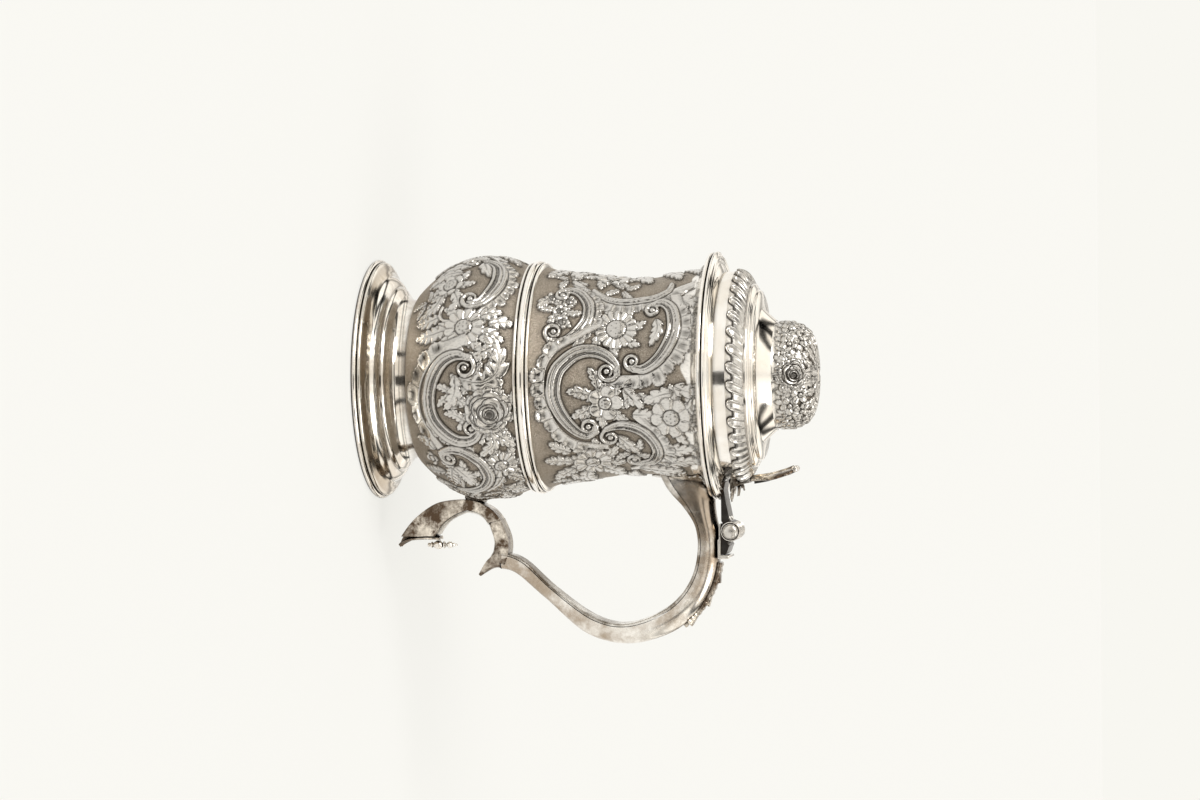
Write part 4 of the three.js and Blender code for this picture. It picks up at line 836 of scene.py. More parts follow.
# Girdle band
# A drawn silver moulding with reeds between fillets, bent to a ring and soldered round the join of belly
# and waist.
girdle_face = [(50.2, 71.5), (50.9, 71.6)] + arc((50.9, 72.35), 0.75, -60, 75, 5)
girdle_face += [(50.5, 73.1), (50.5, 73.35)] + arc((50.6, 75.1), 1.85, -70, 70, 12)
girdle_face += [(50.5, 76.85), (50.5, 77.1)] + arc((50.7, 77.75), 0.7, -60, 80, 5)
girdle_face += [(50.3, 78.6), (49.4, 78.7), (49.4, 71.5), (50.2, 71.5)]
girdle = turned("girdle_moulding", girdle_face)
fit(girdle, "tankard", "silver", bright_silver, "girdle_band")

# Lid
# Raised from sheet silver: a flange over the lip, an upright wall, a shoulder chased with gadroons, and
# small steps to a flat plate. The gadroons are matted like the body, but rubbed brighter.
lid_under = 154.9
bright_matting = ((0.8, 0.75, 0.67), (0.92, 0.88, 0.81), (0.97, 0.94, 0.89))
gadroon_silver = chased("gadroon silver", bright_matting, 0.26)
lid_face = arc((54.75, lid_under + 0.6), 0.6, -90, 90, 6) + [(54.1, 156.4)]
lid_face += arc((53, 156.5), 0.75, 20, 160, 5) + [(51.9, 156.8)]
lid_face += arc((50.8, 156.9), 0.7, 20, 160, 5) + smooth_line([(49.9, 157.1), (48, 157.9), (46.6, 158.4)], 4)
lid_face += smooth_line([(46.2, 158.6), (46.3, 161.5), (46.35, 163.9)], 4)
lid_face += [(45.9, 164.3), (45.4, 166.6), (44, 168.5), (42.2, 169.9), (41.2, 170.4)]
lid_face += [(40.9, 171.25)] + arc((39.7, 171.7), 1.1, 0, 85, 6)
lid_face += smooth_line([(39.6, 172.9), (38.9, 173.3), (38.3, 173.5)], 3) + [(38.1, 173.7)]
lid_face += arc((36.9, 174), 1.0, 0, 85, 6) + [(36.6, 175.1), (36.3, 175.3), (29.5, 175.4)]
lid_inside = [(29.5, 174.2), (35, 174), (38, 172), (43, 168.4), (45, 165), (44.9, 156.6), (44.9, lid_under)]
shoulder_profile = smooth_line([(46.3, 163.6), (46.5, 165.2), (45.9, 167.1), (44.4, 168.9), (42.6, 170.3),
                               (41.2, 171)], 8)


def shoulder_pattern(wall):
    """Gadroons round the shoulder of the lid."""
    wall.gadroons(36, 164.3, 170.9)


lid = turned("lid_shell", lid_face + lid_inside + [lid_face[0]])
fit(lid, "lid", "silver", bright_silver, "lid")
for part in chased_wall("lid_gadroons", shoulder_profile, 0.9, shoulder_pattern, 640, 0.22, 0.3):
    fit(part, "lid", "silver", gadroon_silver, "lid")

# Bezel
# A ring of silver strip soldered inside the lid. It drops into the throat and keeps the lid in place.
bezel_face = [(43.4, 148.2), (44.3, 148.2), (44.6, 148.6), (44.6, 156.5), (43.4, 156.5), (43.4, 148.2)]
bezel = turned("lid_bezel_ring", bezel_face)
fit(bezel, "lid", "silver", bright_silver, "lid_bezel")

# Dome
# Raised from sheet silver with a plain cove at its foot, embossed with flowers above leaves, and soldered
# on the lid's plate. Its chasing is coloured like that of the body, with tarnish and painted shade in its
# lines.
cove_profile = smooth_line([(30, 175.5), (29.1, 176.3), (27.7, 177.7), (26.3, 179.2), (25.2, 180.5),
                            (24.5, 181.4)], 6)
dome_profile = smooth_line([(24.3, 181.1), (23.8, 182.6), (23.2, 186.6), (22.2, 190.8), (20.7, 193.8),
                            (18.5, 195.9), (15.3, 197.4), (11.4, 198.3), (7, 198.85), (3.2, 199.1)], 8)
crown_profile = smooth_line([(3.3, 199.05), (3.1, 199.6), (2.2, 200), (0, 200.1)], 4)


def dome_pattern(wall):
    """Leaves that hang over the cove, a ring of flowers above them, and smaller ones under the crown."""
    for k in range(16):
        turn = -91 + 12 * k
        wall.leaf([(turn - 2, 190), (turn + 2, 186.4), (turn, 182.4 + 0.7 * (k % 2))], 2, 3, 0.9)
        wall.leaf([(turn + 5, 191), (turn + 8, 188), (turn + 7, 185.2)], 1.9, 3, 1)
    for k in range(8):
        turn = -84 + 24 * k
        wall.flower((turn, 188.8), 4.4, 5, 0.24, 1.1, 0.3, turn, 1)
    for k in range(9):
        turn = -84 + 21 * k
        wall.leaf([(turn, 194.6), (turn + 6, 197), (turn + 12, 198.4)], 2.2, 3, 0.9)
    for k in range(7):
        turn = -72 + 24 * k
        wall.flower((turn, 193.4), 4.4, 5 + k % 2, 0.22, 1.1, 0.3, turn, 1)
    for k in range(8):
        turn = -79 + 22.5 * k
        wall.leaf([(turn, 198.3), (turn, 198.7), (turn, 199.05)], 2.6, 2, 0.9)
    wall.spray((-2, 190.5), 6, 6, 0.4)
    wall.rose((-2, 190.8), 6.2, 1.2)
    wall.height *= np.clip(wall.run / 6, 0.2, 1)
    wall.ground *= np.clip(wall.run - 5.5, 0, 1)


cove_inside = [(23.6, 181.3), (24.6, 179.8), (26.4, 177.8), (28, 176.2), (28.8, 175.5), (30, 175.5)]
dome_foot = turned("dome_cove", cove_profile + cove_inside)
dome_crown = turned("dome_crown", crown_profile + [(0, 198.4), (3.3, 198.4), (3.3, 199.05)])
fit(dome_foot, "lid", "silver", bright_silver, "lid_dome")
fit(dome_crown, "lid", "silver", bright_silver, "lid_dome")
for part in chased_wall("dome_chasing", dome_profile, 0.9, dome_pattern, 340, 0.22):
    fit(part, "lid", "silver", chased_silver, "lid_dome")

# Handle
# Cast and hammered silver in two halves, soldered along the seam that shows on its side. The inner half
# is darker and browner: tarnish where a cloth seldom gets to it, and a painted reflection along its inner
# edge.
worn_silver = silver("worn silver", (0.95, 0.915, 0.85), (0.32, 0.23, 0.145), 0.72, 0.24)
leaf_silver = silver("leaf silver", (0.88, 0.85, 0.79), (0.16, 0.12, 0.08), 0.95, 0.3)
scroll_steps, spur_length = 400, 13
scroll_points = [(43, 140.2), (55.3, 146), (73.2, 150.6), (92, 147.3), (106.7, 135.4), (114.4, 115.8),
                 (111.2, 97.3), (96.5, 78), (85.3, 65.2), (82.3, 57.2), (83.5, 51.8), (88.9, 45.7)]


def new_piece(name, vertices, faces, smooth_to=40):
    """A piece from vertices and faces in the frame's metres."""
    mesh = bpy.data.meshes.new(name)
    mesh.from_pydata(vertices, [], faces)
    piece = bpy.data.objects.new(name, mesh)
    bpy.context.scene.collection.objects.link(piece)
    open_edit(piece)
    close_edit(smooth_to)
    return piece


def swept(name, line, section, smooth_to=40):
    """A bar along a line in the plane of the handle; section(share) gives its (outward, sideways) points."""
    heading = np.gradient(line, axis=0)
    heading /= np.linalg.norm(heading, axis=1)[:, None]
    outward = np.stack([-heading[:, 1], heading[:, 0]], 1)
    vertices, faces = [], []
    for k, place in enumerate(line):
        for out, side in section(k / (len(line) - 1)):
            x, z = place + outward[k] * out
            vertices.append((axis_x + x * MM, side * MM, z * MM))
    count = len(section(0))
    for k in range(len(line) - 1):
        for i in range(count):
            j = (i + 1) % count
            a, b = k * count, (k + 1) * count
            faces.append((a + i, a + j, b + j, b + i))
    end = (len(line) - 1) * count
    faces.append(tuple(range(count)))
    faces.append(tuple(end + i for i in range(count)))
    return new_piece(name, vertices, faces, smooth_to)


def crown(half, low, high, steps, squareness=0.62):
    """The rounded side of a bar's section, from one edge to the other."""
    side = []
    for k in range(steps + 1):
        a = math.pi * k / steps
        across = math.copysign(abs(math.cos(a)) ** squareness, math.cos(a))
        side.append((low + (high - low) * math.sin(a) ** squareness, half * across))
    return side


def eased(shares, values, t):
    """Values at some shares of a length, joined smoothly."""
    i = max(1, min(int(np.searchsorted(shares, t)), len(shares) - 1))
    step = min(max((t - shares[i - 1]) / (shares[i] - shares[i - 1]), 0), 1)
    return values[i - 1] + (values[i] - values[i - 1]) * step * step * (3 - 2 * step)


scroll_line = even(smooth_line(scroll_points, 20), scroll_steps)
upper_count = int(scroll_steps * (1 - spur_length / run_along(scroll_line)[-1]))
seam_share, seam_gap = 0.17, 0.15


def handle_depth(t):
    return eased([0, 0.16, 0.45, 0.66, 0.84, 1], [21, 9.6, 10.8, 9, 6.6, 7.6], t)


def handle_width(t):
    return eased([0, 0.3, 0.6, 1], [18, 17, 15, 11], t)


def outer_half(t):
    depth, half = handle_depth(t), handle_width(t) / 2
    seam = -depth / 2 + depth * seam_share + seam_gap
    return crown(half, seam, depth / 2, 24, 0.8) + [(seam, -half * 0.5), (seam, half * 0.5)]


def inner_half(t):
    depth, half = handle_depth(t), handle_width(t) / 2
    seam = -depth / 2 + depth * seam_share - seam_gap
    under = [(-out, side) for out, side in crown(half, -seam, depth / 2, 14, 0.5)]
    return under + [(seam, -half * 0.5), (seam, half * 0.5)]


def seat_on_wall(piece):
    """Pushes what would stand inside the body out to the middle of its wall."""
    line = np.array(belly_profile + waist_profile + [(53, 153)])
    place = points_of(piece)
    from_axis = np.hypot(place[:, 0] - axis_x, place[:, 1])
    half_wall = 0.5
    wall = (np.interp(place[:, 2] / MM, line[:, 1], line[:, 0]) - half_wall) * MM
    inside = from_axis < wall
    grow = wall[inside] / from_axis[inside]
    place[inside, 0] = axis_x + (place[inside, 0] - axis_x) * grow
    place[inside, 1] *= grow
    move_points(piece, place)


root_count = 20
root_step = scroll_line[1] - scroll_line[0]
root_line = [scroll_line[0] - root_step * k for k in range(root_count, 0, -1)]
handle_line = np.concatenate([root_line, scroll_line[:upper_count]])


def past_root(share):
    """A share of the handle from the wall on, without the root that the wall hides."""
    return max(0, (share * (len(handle_line) - 1) - root_count) / (upper_count - 1))


handle_outer = swept("handle_outer", handle_line, lambda share: outer_half(past_root(share)))
handle_inner = swept("handle_inner", handle_line, lambda share: inner_half(past_root(share)))
seat_on_wall(handle_outer)
seat_on_wall(handle_inner)
fit(handle_outer, "tankard", "worn_silver", worn_silver, "handle_outer_half")
# The inner half is darker: tarnish, and a painted reflection along its inner edge.
fit(handle_inner, "tankard", "worn_silver", leaf_silver, "handle_inner_half")

# Spur
# The pointed end of the upper scroll, filed from the same silver casting. From here down the handle is
# brown with tarnish.
brown_silver = silver("brown silver", (0.93, 0.85, 0.73), (0.10, 0.066, 0.042), 0.9, 0.22, 1.5)


def spur_section(t):
    depth = (7.6 + (1.2 - 7.6) * t ** 0.8) / 2
    half = (11 + (2.4 - 11) * t ** 1.5) / 2
    return crown(half, -depth, depth, 16) + [(-depth, -half * 0.5), (-depth, half * 0.5)]


spur = swept("handle_spur_tip", even(scroll_line[upper_count + 1:], 30), spur_section)
fit(spur, "tankard", "worn_silver", brown_silver, "handle_spur")


# Lower scroll
# A short scroll of cast silver, soldered between the spur and the joint line above the terminal.
def lower_section(t):
    depth = (7.8 + (6.4 - 7.8) * t) / 2
    return crown(5.5, -depth, depth, 16) + [(-depth, -2.8), (-depth, 2.8)]


lower_line = even(smooth_line([(82.2, 54.4), (78.6, 56), (72.5, 56.2), (64.6, 53.4)], 12), 40)
lower_scroll = swept("lower_scroll_bar", lower_line, lower_section)
fit(lower_scroll, "tankard", "worn_silver", brown_silver, "lower_scroll")

# Upper joint leaf
# A cast silver leaf with lobes and ribs, soldered over the place where the upper scroll meets the wall
# under the lip.
leaf_low, leaf_high, leaf_half = 125.1, 150.5, 20
leaf_rows, leaf_columns = 56, 41


def leaf_width(height):
    share = (height - leaf_low) / (leaf_high - leaf_low)
    lobes = 1 - 0.13 * abs(math.sin(share * math.pi * 4.5))
    return leaf_half * min(1, (share + 0.04) ** 0.62) * lobes


wall_line = np.array(waist_profile + [(52, 152.4)])
last_row, last_column, layer = leaf_rows - 1, leaf_columns - 1, leaf_rows * leaf_columns
leaf_points = []
for side in (1, -1):
    for row in range(leaf_rows):
        height = leaf_low + (leaf_high - leaf_low) * row / last_row
        radius = np.interp(height, wall_line[:, 1], wall_line[:, 0])
        for column in range(leaf_columns):
            share = column / last_column * 2 - 1
            across = leaf_width(height) * share
            vein = abs(math.sin((height * 0.55 - abs(across) * 0.35) * 1.6))
            swell = 1 - abs(share) ** 4
            lift = (0.35 + 0.75 * swell * (0.55 + 0.45 * vein)) if side > 0 else -0.5
            turn = across / radius
            x, y = (radius + lift) * math.cos(turn), (radius + lift) * math.sin(turn)
            leaf_points.append((axis_x + x * MM, y * MM, height * MM))
leaf_faces = []
for row in range(last_row):
    for column in range(last_column):
        a = row * leaf_columns + column
        leaf_faces.append((a, a + 1, a + leaf_columns + 1, a + leaf_columns))
        b = a + layer
        leaf_faces.append((b, b + leaf_columns, b + leaf_columns + 1, b + 1))
border = list(range(leaf_columns)) + [leaf_columns * row + last_column for row in range(1, leaf_rows)]
border += [last_row * leaf_columns + k for k in range(last_column - 1, -1, -1)]
border += [leaf_columns * row for row in range(last_row - 1, 0, -1)]
for a, b in zip(border, border[1:] + border[:1]):
    leaf_faces.append((a, b, b + layer, a + layer))
joint_leaf = new_piece("upper_joint_leaf_plate", leaf_points, leaf_faces)
fit(joint_leaf, "tankard", "worn_silver", leaf_silver, "upper_joint_leaf")

# Hinge
# Five knuckles of drawn silver tube on one pin of drawn wire. Each has a groove turned near both ends.
# Three are soldered to the handle's saddle and two to the lid's strap.
hinge_x, hinge_z, barrel = 69, 160.868, 4.35


def level(name, x, z, profile, steps=64):
    """A round piece whose axis lies across the handle, from (radius, distance along it) points."""
    piece = turned(name, profile, steps, centre=x)
    lying = Matrix.Translation((axis_x + x * MM, 0, z * MM)) @ Matrix.Rotation(math.radians(-90), 4, "X")
    piece.data.transform(lying @ Matrix.Translation((-axis_x - x * MM, 0, 0)))
    return piece


def plate(name, outline, low, high, bevel, segments=3, smooth_to=40):
    """A bar of one outline in the handle's plane, from low to high across it, with its edges rounded."""
    piece = drawn_profile(name, list(outline) + [outline[0]])
    bpy.ops.mesh.select_all(action="SELECT")
    bpy.ops.mesh.remove_doubles(threshold=1e-6)
    bpy.ops.mesh.edge_face_add()
    bpy.ops.transform.translate(value=(0, low * MM, 0))
    bpy.ops.mesh.extrude_region_move(TRANSFORM_OT_translate={"value": (0, (high - low) * MM, 0)})
    close_edit(smooth_to)
    edges = piece.modifiers.new("edges", "BEVEL")
    edges.width = bevel * MM
    edges.segments = segments
    edges.angle_limit = math.radians(38)
    bpy.ops.object.modifier_apply(modifier=edges.name)
    bpy.ops.object.shade_smooth_by_angle(angle=math.radians(smooth_to))
    return piece


def knuckle(name, low, high):
    """A tube with rounded ends and a turned groove near each of them."""
    bore, edge, bottom = 1.65, 0.35, barrel - 0.5
    face = [(bore, low), (barrel - edge, low), (barrel - 0.1, low + 0.1), (barrel, low + edge)]
    for groove in (low + 0.95, high - 0.95):
        face += [(barrel, groove - 0.3), (bottom, groove - 0.05), (bottom, groove + 0.05)]
        face.append((barrel, groove + 0.3))
    face += [(barrel, high - edge), (barrel - 0.1, high - 0.1), (barrel - edge, high), (bore, high),
             (bore, low)]
    return level(name, hinge_x, hinge_z, face)


for body, place, low, high in (("tankard", "front", -9.1, -5.85), ("tankard", "middle", -1.65, 1.65),
                               ("tankard", "rear", 5.85, 9.1), ("lid", "front", -5.35, -2.05),
                               ("lid", "rear", 2.05, 5.35)):
    owner = "handle" if body == "tankard" else "lid"
    fit(knuckle(owner + "_hinge_tube_" + place, low, high), body, "silver", bright_silver,
        owner + "_knuckle_" + place)

pin = level("hinge_pin_rod", hinge_x, hinge_z, [(0, -9.6), (1.45, -9.6), (1.45, 9.6), (0, 9.6)], 32)
fit(pin, "tankard", "silver", bright_silver, "hinge_pin")

# Pin heads
# The ends of the silver pin are hammered out by hand, so their faces are low domes. A thin ring under each
# head is coloured near black as painted shade.
# A silver coloured near black that stands in for shade and reflection: painted shade on the rings under the
# pin heads, the saddle block and the thumbpiece's rib, and a painted reflection on the strap.
shade_silver = silver("silver in painted shade", (0.085, 0.08, 0.075), (0.03, 0.025, 0.02), 0.7, 0.25)
hammered_silver = silver("hammered silver", (0.97, 0.955, 0.92), (0.4, 0.36, 0.3), 0.6, 0.3)
head_face = [(0, 10.68)] + smooth_line([(0.9, 10.64), (2, 10.45), (2.75, 10.1), (2.9, 9.85)], 4)
head_face += [(3.05, 9.72), (3.4, 9.72), (3.5, 9.6), (3.5, 9.2), (1.5, 9.2), (0, 9.2)]
shade_ring_face = [(2.8, 9.15), (3.95, 9.15), (3.95, 9.35), (3.8, 9.5), (2.8, 9.5), (2.8, 9.15)]
for place, side in (("front", -1), ("rear", 1)):
    head = level("pin_head_" + place + "_rivet", hinge_x, hinge_z, [(r, side * y) for r, y in head_face], 48)
    fit(head, "tankard", "silver", hammered_silver, "pin_head_" + place)
    # Painted shade: a near black ring under each pin head.
    shade_ring = level("pin_shade_ring_" + place, hinge_x, hinge_z, [(r, side * y) for r, y in shade_ring_face])
    fit(shade_ring, "tankard", "silver", shade_silver)

# Saddle
# A filed silver block soldered on the handle's back. It carries the outer and middle knuckles, on a foot
# that ends in a low post.
saddle_round = arc((hinge_x, hinge_z), 4.55, 250, 318, 8)
saddle_face = [(65.5, 155.9), (78.9, 155.9), (79.2, 158.6), (78.2, 159.3), (76.4, 159.9), (75.2, 160.4)]
saddle_face += [(73.6, 159.6)] + saddle_round[::-1] + [(66.2, 156.6)]
# The block is coloured near black as painted shade.
saddle = plate("saddle_block", saddle_face, -8.4, 8.4, 0.3)
fit(saddle, "tankard", "silver", shade_silver, "hinge_plate")
foot_outline = [(65.4, 155.75), (72.4, 155.75), (72.6, 155.2), (81.2, 155.2), (81.2, 156.3), (65.6, 156.5)]
saddle_foot = plate("saddle_foot", foot_outline, -9.1, 9.1, 0.2)
fit(saddle_foot, "tankard", "silver", bright_silver, "hinge_plate")
post_outline = [(79.5, 155.8), (81.2, 155.8), (81.2, 159.6), (80.6, 160.2), (79.8, 160.1), (79.5, 159.4)]
saddle_post = plate("saddle_post", post_outline, -9.1, 9.1, 0.3)
fit(saddle_post, "tankard", "silver", bright_silver, "hinge_plate")

# Strap
# A wedge filed from silver bar and soldered on the lid's edge. Two webs tie the lid's knuckles to it.
strap_round = arc((hinge_x, hinge_z), 4.5, 168, 225, 8)
strap_face = [(47, 156.9), (50, 156.6), (64.4, 156.6)] + strap_round[::-1]
strap_face += [(64, 160.3), (59.6, 159.5), (55.4, 158.6), (50.5, 157.9), (47, 158.6)]
# The wedge is coloured near black as a painted reflection.
strap = plate("lid_strap_wedge", strap_face, -7.3, 7.3, 0.35)
fit(strap, "lid", "worn_silver", shade_silver, "lid_strap")
web_outline = [(62.4, 157.2), (66.2, 157.2), (66.6, 158), (65.4, 161.2), (62.4, 160.1)]
for place, low, high in (("front", -5.35, -2.05), ("rear", 2.05, 5.35)):
    web = plate("lid_strap_web_" + place, web_outline, low, high, 0.2)
    fit(web, "lid", "worn_silver", bright_silver, "lid_strap")


# Drop
# A strip with overlapping scales, cast in silver and soldered on the handle's back below the hinge.
def on_back(name, start, end, rise, half, steps=48, squareness=0.62):
    """A bar that lies on the handle's back between two shares of the scroll line."""
    edge_depth, under_depth = 0.4, 0.9
    first, last = int(scroll_steps * start), int(scroll_steps * end)
    line = even(scroll_line[first:last + 1], steps)

    def section(t):
        share = (start + (end - start) * t) * scroll_steps / upper_count
        back = handle_depth(share) / 2
        under = [(back - under_depth, -half(t) * 0.9), (back - under_depth, half(t) * 0.9)]
        return crown(half(t), back - edge_depth, back + rise(t), 14, squareness) + under
    return swept(name, line, section, 50)


strip = on_back("drop_strip", 0.237, 0.403, lambda t: 1.3 + 0.3 * math.sin(40 * t) ** 2,
                lambda t: 4.3 - 2.6 * t ** 3, 90, 0.4)
fit(strip, "tankard", "worn_silver", brown_silver, "hinge_drop_strip")
scales = [("upper", 0.24, 0.282, 2.5), ("middle", 0.296, 0.336, 2.7), ("lower", 0.348, 0.392, 2.8)]
for place, start, end, top in scales:
    scale = on_back("drop_leaf_" + place, start, end, lambda t, top=top: 0.9 + (top - 0.9) * t ** 1.6,
                    lambda t: 4.05 * (1 - 0.25 * (1 - t) ** 2) * (1 - 0.12 * math.sin(14 * t) ** 2))
    fit(scale, "tankard", "worn_silver", brown_silver, "hinge_drop_leaf_" + place)


# Thumbpiece leaf
# Pointed silver leaves cast in one with the foot of the thumbpiece, spread over the lid's edge and
# shoulder and soldered there.
def blade(name, start, tip):
    """A pointed leaf with a rib along its middle, from its stem to its tip."""
    bow, width, thick, rows = 0.7, 1.5, 0.9, 16
    start, tip = Vector(start), Vector(tip)
    ahead = (tip - start).normalized()
    up = Vector((0, 0, 1)) - ahead * ahead.z
    up = up.normalized() if up.length > 0.3 else Vector((1, 0, 0))
    across = ahead.cross(up)
    vertices, faces = [], []
    shape = [(1, 0), (0.5, 0.55), (0.12, 0.6), (0, 1.1), (-0.12, 0.6), (-0.5, 0.55), (-1, 0), (0, -0.8)]
    for k in range(rows + 1):
        t = k / rows
        lobes = 1 - 0.12 * math.sin(t * 19) ** 2
        spread = width * max(math.sin(math.pi * (t * 0.9 + 0.1)) ** 0.75, 0.05) * lobes
        middle = start.lerp(tip, t) + up * bow * math.sin(math.pi * t)
        for side, out in shape:
            point = middle + across * spread * side + up * thick * out * (1 - 0.6 * t)
            vertices.append((axis_x + point.x * MM, point.y * MM, point.z * MM))
    count = len(shape)
    for k in range(rows):
        for i in range(count):
            a, b = k * count + i, k * count + (i + 1) % count
            faces.append((a, b, b + count, a + count))
    faces += [tuple(range(count)), tuple(rows * count + i for i in range(count))]
    return new_piece(name, vertices, faces, 50)


base_outline = smooth_line([(43, 169), (42.9, 165), (43.4, 161.2), (46.4, 160.5), (50, 160.2), (51.6, 160.6),
                            (49.4, 162.6), (48.3, 165.6), (47.6, 169)], 4)
leaf_base = plate("thumb_leaf_base", base_outline, -4.4, 4.4, 1.1, 4)
fit(leaf_base, "lid", "worn_silver", leaf_silver, "thumbpiece_leaf")
leaf_tips = [(56.2, 0, 160.4), (55.2, 3.4, 160.3), (55.2, -3.4, 160.3), (52.8, 6.9, 160.9),
             (52.8, -6.9, 160.9), (53.6, 1.7, 163.4), (53.6, -1.7, 163.4), (47.4, 7.2, 163.6),
             (47.4, -7.2, 163.6), (51.2, 0, 166.2), (50, 3.8, 165.6), (50, -3.8, 165.6), (46, 6.4, 167.4),
             (46, -6.4, 167.4)]
for k, leaf_tip in enumerate(leaf_tips):
    leaf_start = (46.4, leaf_tip[1] * 0.35, min(leaf_tip[2] - 0.4, 162.6))
    leaf = blade("thumb_leaf_{:02d}".format(k + 1), leaf_start, leaf_tip)
    fit(leaf, "lid", "worn_silver", leaf_silver, "thumbpiece_leaf")

# Thumbpiece
# A lever of cast silver with a waisted stem, scrolled sides and a rolled top, which the thumb presses to
# lift the lid. A rib stiffens its outer side, coloured near black as a painted shade line.
thumb_line = even(smooth_line([(46, 169.3), (45.1, 177), (43.2, 184.4), (41.6, 189)], 12), 90)


def thumb_width(t):
    scroll = 0.75 * abs(math.sin(t * math.pi * 5)) * (1 if t > 0.3 else 0.3)
    return eased([0, 0.18, 0.55, 0.8, 1], [7.8, 6.2, 18.4, 16, 11.4], t) - scroll


def thumb_section(t):
    half = thumb_width(t) / 2
    front, back = [], []
    for k in range(25):
        across = 1 - k / 12
        bow = -1.4 * (half / 9.5) * across ** 2
        fold = 0.22 * math.cos(across * 3 * math.pi)
        edge = 1 - abs(across) ** 6
        front.append((bow - (0.35 + 0.55 * edge) + fold * edge, across * half))
        back.append((bow + (0.35 + 0.45 * edge) + 0.9 * math.exp(-(across / 0.16) ** 2), across * half))
    return back + front[::-1]


thumbpiece = swept("thumbpiece_lever", thumb_line, thumb_section, 45)
fit(thumbpiece, "lid", "worn_silver", brown_silver, "thumbpiece")


def spine_section(t):
    return [(-0.7, 1.6 - 0.8 * t), (-0.7, 0.8 * t - 1.6), (-2.3 + t, 0.6 * t - 1.1),
            (-2.3 + t, 1.1 - 0.6 * t)]


spine_first, spine_last = 6, 76
spine = swept("thumbpiece_spine", thumb_line[spine_first:spine_last], spine_section)
# The rib is coloured near black as painted shade.
fit(spine, "lid", "worn_silver", shade_silver, "thumbpiece")
roll_half = [(0, -6.1), (0.8, -6.1), (1.25, -5.7), (1.05, -5.2), (1.4, -4.6), (1.45, 0)]
roll_face = roll_half + [(r, -y) for r, y in roll_half[-2::-1]]
roll = level("thumbpiece_roll", 41.5, 189.2, roll_face, 40)
fit(roll, "lid", "worn_silver", worn_silver, "thumbpiece")

# Terminal
# A hoof of cast silver at the end of the lower scroll: a thick outer casting, closed by a strip that is
# soldered along its inner edge.
terminal_inside = smooth_line([(66.3, 50.9), (63.4, 48.8), (61.5, 45.6), (60.8, 41), (62.4, 36.2),
                               (64.8, 32.2), (68.2, 29), (70.6, 27.6)], 6)
terminal_outside = smooth_line([(71.2, 10.6), (66, 14.4), (61.7, 18.7), (57.4, 24.8), (55.4, 30), (54.6, 38),
                                (55, 44.5), (57, 49.2), (59.8, 53.3), (64, 56.6)], 6)
terminal_seam = [(x - 1.2, z - 0.2) for x, z in terminal_inside[:-2]]
terminal_outline = terminal_outside + terminal_seam + [(71.1, 26.2), (71.3, 18)]
terminal = plate("terminal_casting", terminal_outline, -5.9, 5.9, 2.1, 6, 50)
fit(terminal, "tankard", "worn_silver", brown_silver, "handle_terminal")


def strip_section(t):
    return crown(4.7, -0.5, 0.45, 12) + [(-0.5, -2.6), (-0.5, 2.6)]


strip_line = even([(x - 0.45, z - 0.15) for x, z in terminal_inside], 60)
inner_strip = swept("terminal_inner_strip", strip_line, strip_section)
fit(inner_strip, "tankard", "worn_silver", leaf_silver, "handle_terminal")

# Shield
# A small scooped plate of cast silver with a raised edge, soldered on the front of the terminal. A toe
# behind it closes the terminal.
shield_line = even(smooth_line([(72.3, 28), (72.15, 21.5), (72.7, 14.6), (74, 11.3), (75.8, 9.1)], 10), 60)


def shield_section(t):
    half = eased([0, 0.25, 0.7, 1], [4.2, 5.9, 5.3, 1.6], t)
    return [(-0.4, half), (0.25, half * 0.98), (0.45, half * 0.88), (0.1, half * 0.74), (-0.05, half * 0.4),
            (-0.1, 0), (-0.05, -half * 0.4), (0.1, -half * 0.74), (0.45, -half * 0.88), (0.25, -half * 0.98),
            (-0.4, -half), (-1.2, -half * 0.6), (-1.2, half * 0.6)]


shield = swept("terminal_shield_plate", shield_line, shield_section, 45)
fit(shield, "tankard", "silver", brown_silver, "terminal_shield")


def toe_section(t):
    half = 5.5 + (1.5 - 5.5) * t
    deep = 0.9 + 2.6 * math.sin(math.pi * min(0.15 + 0.9 * t, 1))
    return [(-0.5, half), (-0.5, -half), (-deep, -half * 0.8), (-deep, half * 0.8)]


toe_first, toe_last = 26, 58
toe = swept("terminal_toe", shield_line[toe_first:toe_last], toe_section)
fit(toe, "tankard", "worn_silver", brown_silver, "handle_terminal")

# Bud
# A finial of discs and a ball, turned from silver rod and soldered to the shield with a short peg.
bud_x, peg_z, peg_back = 75.2, 26.8, 1.9
bud_face = [(0, 21.6), (0.7, 21.8), (1, 22.3), (0.75, 22.9), (0.8, 23.2), (1.35, 23.5), (1.4, 23.9),
            (0.9, 24.3), (1.3, 24.9), (1.9, 25.9), (2, 26.8), (1.8, 27.7), (1.1, 28.5), (0.8, 28.8),
            (1.7, 29.2), (1.75, 29.6), (0.9, 30), (0.75, 30.6), (1.3, 31.2), (1.65, 32), (1.35, 32.8),
            (0.7, 33.3), (1, 33.7), (0.95, 34), (0.5, 34.4), (0.6, 34.9), (0.35, 35.4), (0, 35.5)]
bud = turned("terminal_bud_finial", bud_face, 40, 50, centre=bud_x)
peg = level("terminal_bud_peg", bud_x, peg_z, [(0, -0.8), (0.8, -0.8), (0.8, 0.8), (0, 0.8)], 24)
peg.data.transform(Matrix.Translation((-peg_back * MM, 0, 0)))
fit(bud, "tankard", "silver", bright_silver, "terminal_bud")
fit(peg, "tankard", "silver", bright_silver, "terminal_bud")

